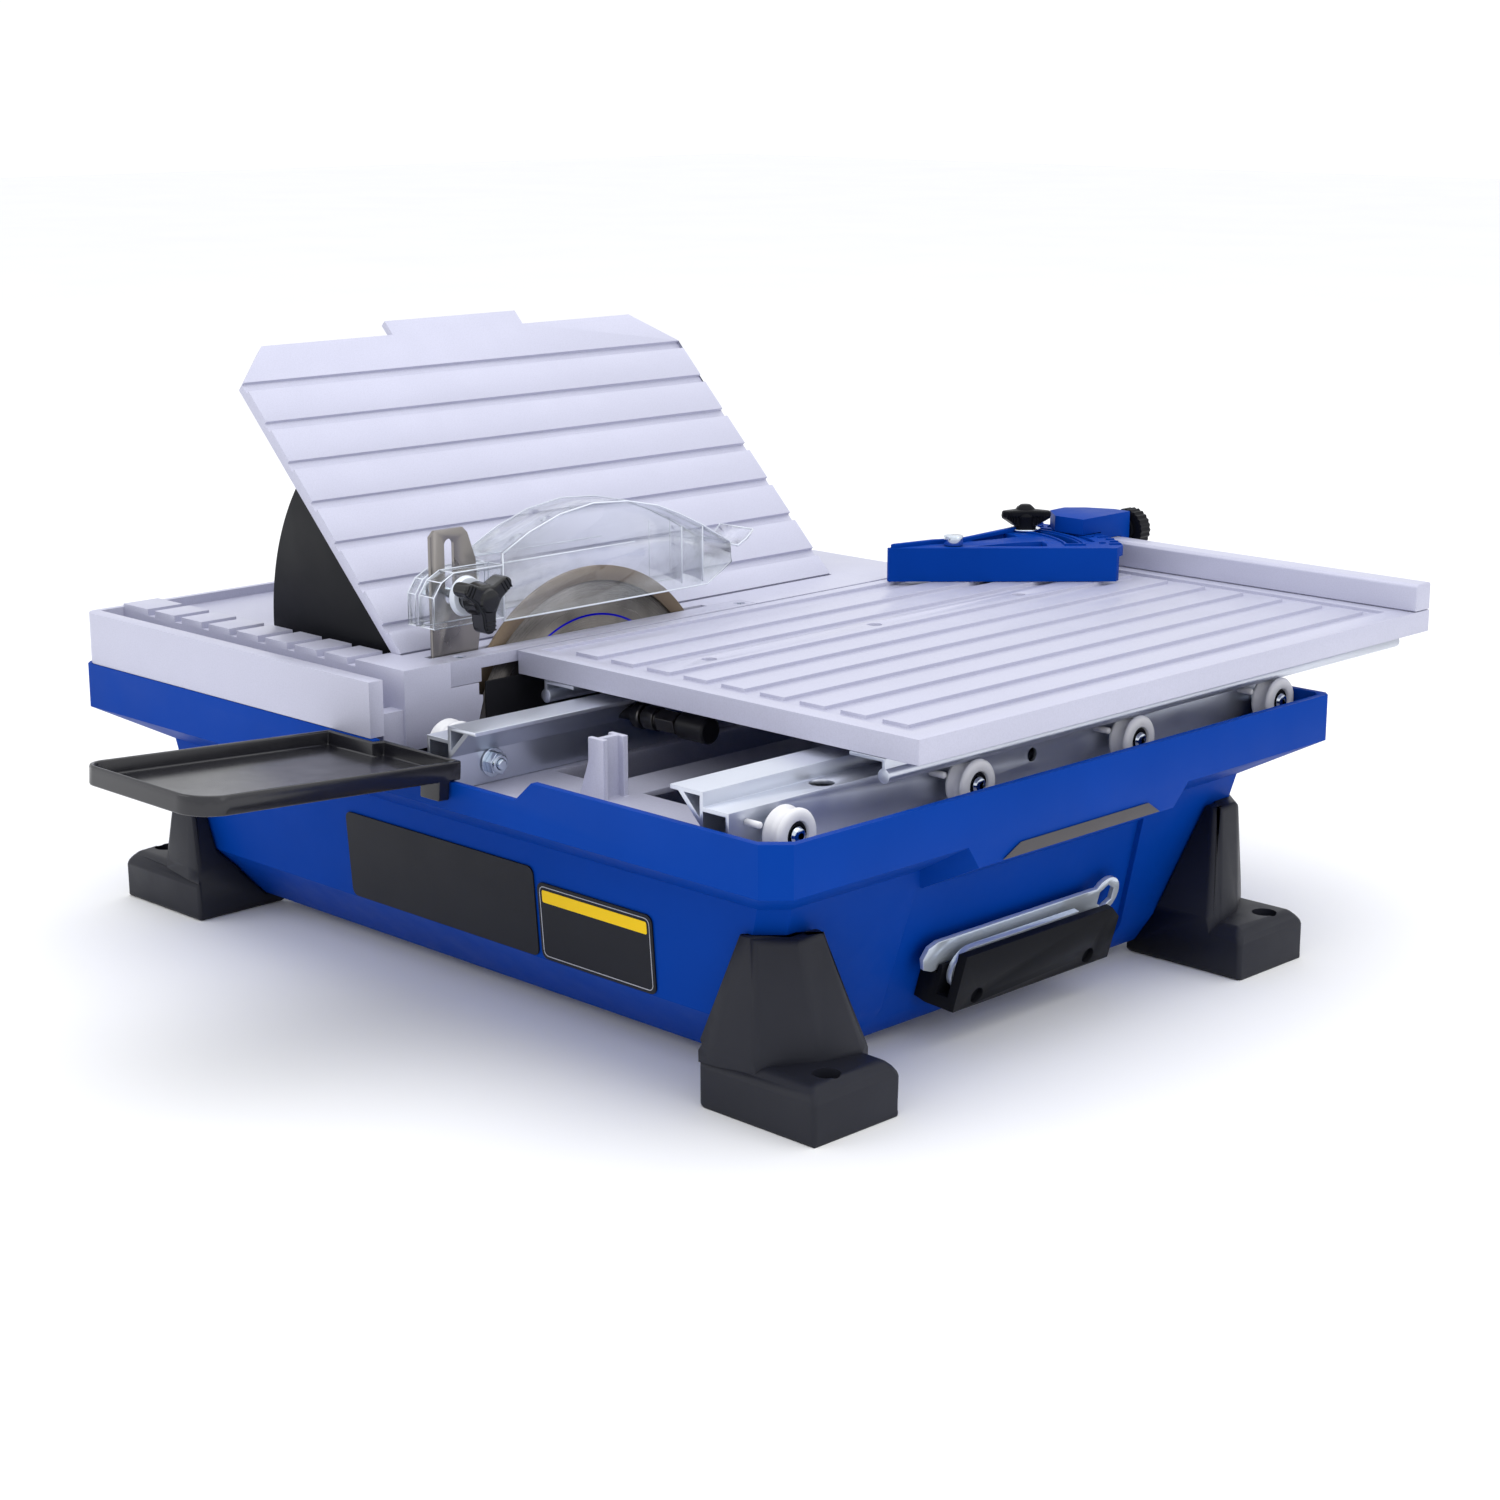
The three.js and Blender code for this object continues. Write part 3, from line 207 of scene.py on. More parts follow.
def clear_material():
    """Clear plastic: light goes straight through, and edge-on it reflects more."""
    material, tree, bsdf = new_material("clear_plastic")
    output = tree.nodes["Material Output"]
    coords = node(tree, "ShaderNodeTexCoord").outputs["Object"]
    gloss = node(tree, "ShaderNodeBsdfGlossy")
    tree.links.new(ramp(tree, noise(tree, coords, 120.0), 0.3, 0.7, 0.03, 0.09), gloss.inputs["Roughness"])
    through = node(tree, "ShaderNodeBsdfTransparent", Color=(0.975, 0.982, 0.99, 1.0))
    weight = node(tree, "ShaderNodeLayerWeight", Blend=0.5)
    steep = node(tree, "ShaderNodeMath", operation="POWER")
    tree.links.new(weight.outputs["Facing"], steep.inputs[0])
    steep.inputs[1].default_value = 4.0
    layered = node(tree, "ShaderNodeMixShader")
    tree.links.new(ramp(tree, steep.outputs[0], 0.0, 1.0, 0.035, 0.8), layered.inputs[0])
    tree.links.new(through.outputs[0], layered.inputs[1])
    tree.links.new(gloss.outputs[0], layered.inputs[2])
    tree.links.new(layered.outputs[0], output.inputs["Surface"])
    tree.nodes.remove(bsdf)
    return material


BLADE_FACE = blade_material()
CLEAR = clear_material()

FINISH = {
    "blue_plastic": BLUE, "black_plastic": BLACK, "cast_alloy": CAST, "bright_aluminium": EXTRUSION,
    "white_nylon": NYLON, "zinc_steel": ZINC, "bare_steel": STEEL, "motor_black": MOTOR,
    "plate_film": FILM, "clear_plastic": CLEAR,
}

# ------------------------------------------------------------------ modelling helpers

def soften(obj, width, segments=2, merge=True, angle=28):
    """Merges coplanar faces and rounds the sharp edges, by modifiers only."""
    if merge:
        weld = obj.modifiers.new("weld", "WELD")
        weld.merge_threshold = 0.001 * MM
        flat = obj.modifiers.new("merge", "DECIMATE")
        flat.decimate_type = "DISSOLVE"
        flat.angle_limit = math.radians(0.5)
    rounded = obj.modifiers.new("round", "BEVEL")
    rounded.width = width * MM
    rounded.segments = segments
    rounded.limit_method = "ANGLE"
    rounded.angle_limit = math.radians(angle)
    rounded.harden_normals = True
    rounded.use_clamp_overlap = True
    for polygon in obj.data.polygons:
        polygon.use_smooth = True


def along(axis, x, y, z):
    """Places a shape built along +Z so that it points along an axis from (x, y, z)."""
    turn = {"+x": Matrix.Rotation(90 * DEG, 4, "Y"), "-x": Matrix.Rotation(-90 * DEG, 4, "Y"),
            "+y": Matrix.Rotation(-90 * DEG, 4, "X"), "-y": Matrix.Rotation(90 * DEG, 4, "X"),
            "+z": Matrix.Identity(4), "-z": Matrix.Rotation(180 * DEG, 4, "X")}[axis]
    return Matrix.Translation((x, y, z)) @ turn


class Piece:
    """A mesh put together from prisms, turned shapes and tubes, in machine millimetres."""

    def __init__(self):
        self.bm = bmesh.new()

    def point(self, place, x, y, z):
        return self.bm.verts.new(at(*(place @ Vector((x, y, z)))))

    def prism(self, outline, low, high, place=Matrix.Identity(4)):
        """An outline in (x, y), from low to high."""
        bottom = [self.point(place, x, y, low) for x, y in outline]
        top = [self.point(place, x, y, high) for x, y in outline]
        self.bm.faces.new(list(reversed(bottom)))
        self.bm.faces.new(top)
        for i in range(len(outline)):
            j = (i + 1) % len(outline)
            self.bm.faces.new((bottom[i], bottom[j], top[j], top[i]))
        return self

    def turned(self, profile, place, sides=40):
        """A profile of (distance, radius) turned about the local Z axis."""
        rings = []
        for distance, radius in profile:
            if radius < 1e-6:
                rings.append([self.point(place, 0, 0, distance)])
            else:
                rings.append([self.point(place, radius * math.cos(i * 2 * math.pi / sides),
                                         radius * math.sin(i * 2 * math.pi / sides), distance)
                              for i in range(sides)])
        for low, high in zip(rings, rings[1:]):
            for i in range(sides):
                j = (i + 1) % sides
                corners = [low[i % len(low)], low[j % len(low)], high[j % len(high)], high[i % len(high)]]
                unique = list(dict.fromkeys(corners))
                if len(unique) > 2:
                    self.bm.faces.new(unique)
        if profile[0] == profile[-1]:
            bmesh.ops.remove_doubles(self.bm, verts=rings[0] + rings[-1], dist=1e-7)
        return self

    def tube(self, path, radius, sides=10, place=Matrix.Identity(4)):
        """A round bar along a line of points."""
        points = [place @ Vector(p) for p in path]
        rings = []
        for i, p in enumerate(points):
            ahead = points[min(i + 1, len(points) - 1)] - points[max(i - 1, 0)]
            frame_of = ahead.to_track_quat("Z", "Y").to_matrix()
            rings.append([self.bm.verts.new(at(*(p + frame_of @ Vector((x, y, 0)))))
                          for x, y in circle(radius, sides)])
        for low, high in zip(rings, rings[1:]):
            for k in range(sides):
                j = (k + 1) % sides
                self.bm.faces.new((low[k], low[j], high[j], high[k]))
        self.bm.faces.new(list(reversed(rings[0])))
        self.bm.faces.new(rings[-1])
        return self

    def mesh_object(self, name):
        bmesh.ops.recalc_face_normals(self.bm, faces=self.bm.faces)
        mesh = bpy.data.meshes.new(name)
        self.bm.to_mesh(mesh)
        self.bm.free()
        obj = bpy.data.objects.new(name, mesh)
        bpy.context.scene.collection.objects.link(obj)
        return obj

    def finish(self, name, body, slot_name, material=None, edge=0.3, replaces=(), segments=2, angle=28):
        obj = self.mesh_object(name)
        return dress(obj, body, slot_name, material, edge, replaces, segments, angle)


def dress(obj, body, slot_name, material=None, edge=0.3, replaces=(), segments=2, angle=28):
    obj.data.materials.clear()
    obj.data.materials.append(material or FINISH[slot_name])
    if edge:
        soften(obj, edge, segments, merge=False, angle=angle)
    else:
        for polygon in obj.data.polygons:
            polygon.use_smooth = True
    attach(obj, body)
    if replaces:
        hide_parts(*replaces)
    return obj


def carved(source, tools, name):
    """A copy of a mesh with other shapes taken out of it."""
    copy = bpy.data.objects.new(name, source.data.copy())
    copy.matrix_world = source.matrix_world.copy()
    bpy.context.scene.collection.objects.link(copy)
    weld = copy.modifiers.new("weld", "WELD")
    weld.merge_threshold = 0.001 * MM
    for tool in tools:
        bite = copy.modifiers.new("bite", "BOOLEAN")
        bite.object = tool
        bite.operation = "DIFFERENCE"
        bite.solver = "EXACT"
    bpy.context.view_layer.update()
    shape = copy.evaluated_get(bpy.context.evaluated_depsgraph_get())
    mesh = bpy.data.meshes.new_from_object(shape)
    copy.modifiers.clear()
    copy.data = mesh
    for tool in tools:
        bpy.data.objects.remove(tool)
    bm = bmesh.new()
    bm.from_mesh(mesh)
    bmesh.ops.remove_doubles(bm, verts=bm.verts, dist=0.001 * MM)
    bmesh.ops.dissolve_limit(bm, angle_limit=math.radians(0.5), verts=bm.verts, edges=bm.edges)
    bm.to_mesh(mesh)
    bm.free()
    return copy


def circle(radius, sides=32, x=0.0, y=0.0, start=0.0):
    return [(x + radius * math.cos(start + i * 2 * math.pi / sides),
             y + radius * math.sin(start + i * 2 * math.pi / sides)) for i in range(sides)]


def rectangle(x0, x1, y0, y1):
    return [(x0, y0), (x1, y0), (x1, y1), (x0, y1)]


def rounded_box(x0, x1, y0, y1, r, steps=5):
    """A rectangle with round corners."""
    corners = ((x1 - r, y1 - r, 0), (x0 + r, y1 - r, 90), (x0 + r, y0 + r, 180), (x1 - r, y0 + r, 270))
    return [(cx + x, cy + y) for cx, cy, start in corners for x, y in arc(r, start, start + 90, steps)]


def arc(radius, start, end, steps=16):
    return [(radius * math.cos((start + (end - start) * k / steps) * DEG),
             radius * math.sin((start + (end - start) * k / steps) * DEG)) for k in range(steps + 1)]


def band(outer, inner, start, end, steps=16):
    return arc(outer, start, end, steps) + list(reversed(arc(inner, start, end, steps)))


def screw(name, place, radius, body, cross=True, slot_name="zinc_steel", height=1.6):
    """A pan-headed screw with a cross or a hexagon in its head."""
    head = Piece().turned([(0, 0), (0, radius), (height * 0.45, radius), (height * 0.85, radius * 0.8),
                           (height, radius * 0.45), (height, 0)], place, 28).mesh_object(name)
    bits = []
    if cross:
        half = radius * 0.55
        slit = rectangle(-half, half, -half * 0.28, half * 0.28)
        for turn in (0, 90):
            spin = place @ Matrix.Rotation(turn * DEG, 4, "Z")
            bits.append(Piece().prism(slit, height * 0.45, height + 1, spin))
    else:
        bits.append(Piece().prism(circle(radius * 0.42, 6), height * 0.3, height + 1, place))
    made = carved(head, [bit.mesh_object("bit") for bit in bits], name)
    bpy.data.objects.remove(head)
    made.name = name
    return dress(made, body, slot_name, ZINC, 0.12)


# ------------------------------------------------------------------ CAD nodes, softened

PLAIN_EDGE = 0.4     # how far a sharp edge is rounded, in millimetres, on nodes not listed here
EDGE = {"tub": 1.5, "sliding_table": 0.8, "fixed_table": 0.4, "bevel_plate": 0.8, "fence": 0.8,
        "splash_tray": 1.0, "wrench_ring": 0.8, "wrench_flat": 0.9, "wrench_holder": 1.2,
        "chassis_deck": 0.7, "guide_clamp": 1.6, "throat_plate": 0.5, "rail_right": 0.5,
        "rail_left": 0.5, "motor_housing": 1.5}

for entry in frame["record"]["subparts"]:
    name = entry["node"]
    part = NODES[name]
    part.data.materials.clear()
    part.data.materials.append(FINISH[entry["material_slot"]])
    soften(part, EDGE.get(name, PLAIN_EDGE))

# ------------------------------------------------------------------ feet

def foot(name):
    """A copy of the CAD foot whose long outer edges are generously rounded, but not its bolt hole."""
    copy = carved(NODES[name], [], f"{name}_moulded")
    bm = bmesh.new()
    bm.from_mesh(copy.data)
    weight = bm.edges.layers.float.new("bevel_weight_edge")
    for edge in bm.edges:
        if len(edge.link_faces) == 2 and edge.calc_face_angle() > 20 * DEG:
            if edge.is_convex and edge.calc_length() > 9 * MM:
                edge[weight] = 1.0
            else:
                edge.smooth = False
    bm.to_mesh(copy.data)
    bm.free()
    dress(copy, "base", "black_plastic", FOOT, 0, (name,))
    rounded = copy.modifiers.new("round", "BEVEL")
    rounded.width = 2.6 * MM
    rounded.segments = 4
    rounded.limit_method = "WEIGHT"
    rounded.harden_normals = True
    rounded.use_clamp_overlap = False


for foot_name in ("foot_right_front", "foot_left_front", "foot_right_back", "foot_left_back"):
    foot(foot_name)

# ------------------------------------------------------------------ rollers

def roller(side, index):
    name = f"roller_{side}_{index}"
    axle = f"roller_axle_{side}_{index}"
    centre = middle(name)
    out = "+x" if side == "right" else "-x"
    place = along(out, *centre)
    half, rim, groove = 5.75, 12.3, 10.6
    wheel = [(-half, 4.6), (-half, rim - 1.6), (-half + 0.5, rim - 0.6), (-half + 1.4, rim), (-3.4, rim),
             (-2.2, groove), (2.2, groove), (3.4, rim), (half - 1.4, rim), (half - 0.5, rim - 0.6),
             (half, rim - 1.6), (half, 7.0), (half - 0.5, 6.6), (2.2, 6.4), (2.2, 4.6), (-half, 4.6)]
    Piece().turned(wheel, place, 48).finish(f"{name}_wheel", name, "white_nylon", edge=0, replaces=(name,))
    bearing = [(2.3, 4.5), (4.4, 4.5), (4.7, 4.8), (4.7, 5.9), (4.4, 6.2), (2.3, 6.2), (2.3, 4.5)]
    Piece().turned(bearing, place, 36).finish(f"{name}_bearing", name, "black_plastic", edge=0)
    rail_low, rail_high = extent("rail_" + side)
    start = (rail_high.x - rail_low.x) / 2 - abs(centre.x - middle("rail_" + side).x) + 0.3
    shank = [(start, 0), (start, 4.0), (3.6, 4.0), (3.6, 0)]
    Piece().turned(shank, place, 24).finish(f"{axle}_shank", "base", "zinc_steel", edge=0.2, replaces=(axle,))
    screw(f"{axle}_head", place @ Matrix.Translation((0, 0, 3.6)), 4.2, "base", cross=False, height=3.6)
    peg = Piece().turned([(start, 0), (start, 1.6), (-3.2, 1.6), (-2.6, 1.1), (-2.6, 0)],
                         along(out, centre.x, centre.y - 15, centre.z + 6), 20)
    peg.finish(f"{name}_peg", "base", "white_nylon", edge=0)


for side_name in ("right", "left"):
    for number in (1, 2, 3, 4):
        roller(side_name, number)

# ------------------------------------------------------------------ blade

def blade():
    centre = middle("blade")
    place = along("+x", *centre)
    core = [(-0.85, 8.15), (-0.85, 82.5), (0.85, 82.5), (0.85, 8.15), (-0.85, 8.15)]
    Piece().turned(core, place, 128).finish("blade_core", "blade_set", "bare_steel", BLADE_FACE, 0,
                                            replaces=("blade",))
    rim = [(-1.1, 81.2), (-1.1, 88.5), (-0.8, 88.9), (0.8, 88.9), (1.1, 88.5), (1.1, 81.2), (0.9, 81.0),
           (-0.9, 81.0), (-1.1, 81.2)]
    Piece().turned(rim, place, 128).finish("blade_rim", "blade_set", "bare_steel", RIM, 0)
    outer = along("+x", extent("arbor_nut")[0].x, centre.y, centre.z)
    length = extent("arbor_nut")[1].x - extent("arbor_nut")[0].x
    nut = Piece().prism(circle(13, 6), 0, length, outer).mesh_object("nut_blank")
    hole = Piece().prism(circle(8.2, 32), -1, length + 1, outer).mesh_object("nut_hole")
    made = carved(nut, [hole], "arbor_nut_hex")
    bpy.data.objects.remove(nut)
    dress(made, "blade_set", "zinc_steel", ZINC, 0.6, ("arbor_nut",))
    thread = [(0, 0), (0, 7.3)]
    for k in range(9):
        thread += [(k * 1.0 + 0.5, 7.9), (k * 1.0 + 1.0, 7.3)]
    thread += [(10.0, 6.6), (10.0, 0)]
    Piece().turned(thread, outer, 40).finish("arbor_thread", "blade_set", "bare_steel", STEEL, 0)


blade()

# ------------------------------------------------------------------ clear guard

FROM_THE_SIDE = Matrix(((0, 0, 1, 0), (1, 0, 0, 0), (0, 1, 0, 0), (0, 0, 0, 1)))


def dome_line(inset=0.0):
    """The guard's upper curve, from the end block to the nose, as (y, z)."""
    knots = [(-118, 220), (-100, 229), (-79, 235.8), (-56, 239), (-32, 237.4), (-10, 232.6),
             (6, 226.4), (23, 218.4), (44, 206.5)]
    return [(y, z - inset) for y, z in knots]


def guard_shell():
    """Two clear side walls, the dome between them, and one thin wall across the inside."""
    x0, x1 = extent("blade_guard")[0].x, extent("blade_guard")[1].x
    wall = 1.8
    side = dome_line() + [(45, 195), (26.7, 184.8), (-118, 184.8)]
    shell = Piece()
    shell.prism(side, x1 - wall, x1, FROM_THE_SIDE)
    shell.prism(side, x0, x0 + wall, FROM_THE_SIDE)
    dome = dome_line() + list(reversed(dome_line(wall)))
    shell.prism(dome, x0 + wall + 0.05, x1 - wall - 0.05, FROM_THE_SIDE)
    shell.finish("guard_shell", "guard", "clear_plastic", CLEAR, 0, ("blade_guard",))
    across = Piece()
    across.prism([(22.6, 186), (23.6, 186), (23.6, 215), (22.6, 215)], x0 + wall, x1 - wall, FROM_THE_SIDE)
    across.finish("guard_inner_wall", "guard", "clear_plastic", CLEAR, 0)


def guard_block():
    """The moulded end that grips the riving knife: a deep half on the near side, a thin one beyond."""
    x0, x1 = extent("blade_guard")[0].x, extent("blade_guard")[1].x
    plan = [(-163, 187), (-118, 187), (-118, 214), (-150, 214), (-158, 210), (-163, 203)]
    inside = [(-118, 212.2), (-149.5, 212.2), (-157, 208.6), (-161.4, 202.4), (-161.4, 187)]
    strip = [(-163, 187), (-163, 203), (-158, 210), (-150, 214), (-118, 214)] + inside
    halves = (("near", -27.0, x1, (x1 - 1.6, x1)), ("far", x0 + 5, -30.0, (x0 + 5, x0 + 6.4)))
    for label, low, high, face in halves:
        block = Piece()
        block.prism(plan, *face, FROM_THE_SIDE)
        block.finish(f"guard_block_{label}", "guard", "clear_plastic", CLEAR, 0)
        cover = Piece()
        inner_low, inner_high = (low, face[0] - 0.05) if label == "near" else (face[1] + 0.05, high)
        cover.prism(strip, inner_low, inner_high, FROM_THE_SIDE)
        cover.finish(f"guard_block_cover_{label}", "guard", "clear_plastic", CLEAR, 0)
        # Tubes along the block's edges in the light edge colour: painted highlights where the clear edges
        # catch the light.
        glint_lines = Piece()
        for x in (low, high):
            glint_lines.tube([(x, y, z) for y, z in plan[1::-1] + plan[:1:-1] + plan[1:2]], 0.35, 8)
        for y, z in ((-163, 187), (-163, 203), (-158, 210), (-150, 214), (-118, 214)):
            glint_lines.tube([(low, y, z), (high, y, z)], 0.3, 8)
        glint_lines.finish(f"guard_block_glints_{label}", "guard", "clear_plastic", GLINT_EDGE, 0)
    # The boss is coloured with the same painted edge highlight.
    boss = Piece()
    boss.turned([(0, 6.6), (0, 10.5), (3.0, 9.6), (3.0, 6.6), (0, 6.6)],
                along("+x", x1 + 0.1, middle("guard_screw").y, middle("guard_screw").z), 36)
    boss.finish("guard_boss", "guard", "clear_plastic", GLINT_EDGE, 0.2)


def guard_beads():
    """Thin tubes along the clear guard's edges in a light colour: painted highlights where the edges catch
    the light.
    """
    x_near = extent("blade_guard")[1].x
    x_far = extent("blade_guard")[0].x
    lower = [(-118, 185.2), (26.7, 185.2), (45, 195.2), (44.2, 206.2)]
    for label, x, radius in (("near", x_near, 0.45), ("far", x_far, 0.35)):
        glint_beads = Piece()
        glint_beads.tube([(x, y, z) for y, z in dome_line(0.3)], radius, 8)
        glint_beads.tube([(x, y, z) for y, z in lower], radius, 8)
        glint_beads.tube([(x, -118, 185.2), (x, -118, 220)], radius, 8)
        glint_beads.tube([(x, -118, 215.0), (x, -27, 215.0)], radius * 0.8, 8)
        glint_beads.tube([(x, 7.5, 188.0), (x, 7.5, 219.0)], radius * 0.7, 8)
        glint_beads.tube([(x, 23.1, 187.0), (x, 23.1, 217.6)], radius * 0.8, 8)
        glint_beads.finish(f"guard_beads_{label}", "guard", "clear_plastic", GLINT_EDGE, 0)


def guard_nose():
    """The flared lip that rides up over a tile."""
    x0, x1 = extent("blade_guard")[0].x, extent("blade_guard")[1].x
    lip = Piece()
    lip.prism([(44.5, 204.0), (50, 202.5), (58, 206.0), (62.6, 210.5), (61.0, 211.4), (56.5, 207.6),
               (50, 204.6), (45.2, 206.0)], x0, x1, FROM_THE_SIDE)
    lip.finish("guard_lip", "guard", "clear_plastic", CLEAR, 0)
    # Tubes along the lip's edges in the light edge colour: painted highlights where the clear edges catch the
    # light.
    glint_lines = Piece()
    for x in (x0, x1):
        glint_lines.tube([(x, 44.5, 205.0), (x, 50, 203.5), (x, 57, 206.8), (x, 61.8, 211.0)], 0.5, 8)
    glint_lines.tube([(x0, 61.8, 211.0), (x1, 61.8, 211.0)], 0.5, 8)
    glint_lines.tube([(x0, 44.4, 206.2), (x1, 44.4, 206.2)], 0.5, 8)
    glint_lines.finish("guard_lip_glints", "guard", "clear_plastic", GLINT_EDGE, 0)


guard_shell()
guard_block()
guard_beads()
guard_nose()

# ------------------------------------------------------------------ hand knobs

def lobes(reach, root, width, angles, taper=0.75, steps=7):
    """The outline of arms with round ends around a hub."""
    shape = []
    half = width / 2
    tip = half * taper
    for a in angles:
        across = Vector((-math.sin(a * DEG), math.cos(a * DEG)))
        out = Vector((math.cos(a * DEG), math.sin(a * DEG)))
        shape.append(out * root - across * half)
        for x, y in arc(tip, -90, 90, steps):
            shape.append(out * (reach - tip + x) + across * y)
        shape.append(out * root + across * half)
    return [(p.x, p.y) for p in shape]


def guard_knob():
    centre = middle("guard_screw")
    start = extent("guard_knob")[0].x - 6
    place = along("+x", start, centre.y, centre.z)
    # In this placing local x points down and local y along +Y, so arms are listed from straight down.
    knob = Piece()
    knob.prism(lobes(17.2, 7.0, 8.8, (2, 122, 242), 0.85), 14.2, 25.0, place)
    knob.finish("guard_knob_arms", "guard_knob", "black_plastic", GLOSS_BLACK, 1.6, ("guard_knob",), 3)
    hub = Piece().turned([(6.3, 0), (6.3, 6.4), (10, 6.6), (14, 8.6), (22.5, 8.2), (26.0, 5.4),
                          (26.8, 0)], place, 40)
    hub.finish("guard_knob_hub", "guard_knob", "black_plastic", GLOSS_BLACK, 0.3)
    ribs = Piece()
    for a in (2, 122, 242):
        for r in (11.0, 13.0, 15.0):
            spin = place @ Matrix.Rotation(a * DEG, 4, "Z")
            ribs.prism(rectangle(r - 0.35, r + 0.35, -3.0, 3.0), 24.6, 25.5, spin)
    ribs.finish("guard_knob_ribs", "guard_knob", "black_plastic", GLOSS_BLACK, 0.15)


def wing_knob():
    base = extent("guide_body")[1].z
    place = along("+z", 12.5, 264.2, base)
    wings = Piece()
    wings.prism(lobes(16.4, 6.0, 8.2, (15, 135, 255), 0.8), 8.6, 13.0, place)
    wings.finish("wing_knob_arms", "guide_wing_knob", "black_plastic", BLACK, 1.5, ("guide_wing_knob",), 3)
    web = Piece()
    for a in (15, 135, 255):
        spin = place @ Matrix.Rotation(a * DEG, 4, "Z")
        flank = spin @ Matrix(((1, 0, 0, 0), (0, 0, 1, 0), (0, 1, 0, 0), (0, 0, 0, 1)))
        web.prism([(2, 3.4), (7.4, 3.4), (15.0, 8.2), (15.6, 10.5), (2, 10.5)], -2.9, 2.9, flank)
        for r in (8.5, 10.3, 12.1, 13.9):
            web.prism([(r - 0.3, 4.2 + (r - 8.5) * 0.62), (r + 0.3, 4.6 + (r - 8.5) * 0.62), (r + 0.3, 12.4),
                       (r - 0.3, 12.4)], -3.6, 3.6, flank)
    web.finish("wing_knob_webs", "guide_wing_knob", "black_plastic", BLACK, 0.3)
    hub = Piece().turned([(1.6, 0), (1.6, 6.6), (3.4, 6.6), (9, 7.4), (13.5, 5.4), (15.6, 3.0),
                          (16.0, 0)], place, 36)
    hub.finish("wing_knob_hub", "guide_wing_knob", "black_plastic", BLACK, 0.3)
    washer = Piece().turned([(0.3, 3.1), (0.3, 9.0), (0.7, 9.2), (1.3, 9.2), (1.6, 8.9), (1.6, 3.1),
                             (0.3, 3.1)], place, 40)
    washer.finish("wing_knob_washer", "guide_wing_knob", "zinc_steel", ZINC, 0)
    Piece().turned([(-9.5, 0), (-9.5, 2.9), (1.0, 2.9), (1.0, 0)], place, 20).finish(
        "wing_knob_stud", "guide_wing_knob", "zinc_steel", ZINC, 0.2)


def clamp_knob():
    low, high = extent("guide_clamp_knob")
    centre = middle("guide_clamp_knob")
    place = along("+y", centre.x, low.y, centre.z)
    depth = high.y - low.y
    flutes = []
    for i in range(96):
        a = i / 96 * 2 * math.pi
        swell = 0.5 + 0.5 * math.cos(24 * a)
        flutes.append(((11.7 + 0.8 * swell) * math.cos(a), (11.7 + 0.8 * swell) * math.sin(a)))
    body = Piece().prism(flutes, depth - 9.0, depth, place)
    body.finish("clamp_knob_grip", "guide_clamp_knob", "black_plastic", BLACK, 0.25, ("guide_clamp_knob",))
    stem = Piece().turned([(0, 0), (0, 2.9), (9, 2.9), (9, 6.8), (depth - 8.8, 6.8), (depth - 8.8, 10.8),
                           (depth - 9.2, 11.2), (depth - 9.2, 0)], place, 32)
    stem.finish("clamp_knob_stem", "guide_clamp_knob", "black_plastic", BLACK, 0.2)
    cap = Piece().turned([(depth - 0.2, 0), (depth - 0.2, 9.5), (depth + 0.5, 9.0),
                          (depth + 0.8, 0)], place, 32)
    cap.finish("clamp_knob_cap", "guide_clamp_knob", "black_plastic", BLACK, 0)


guard_knob()
wing_knob()
clamp_knob()

# ------------------------------------------------------------------ angle guide

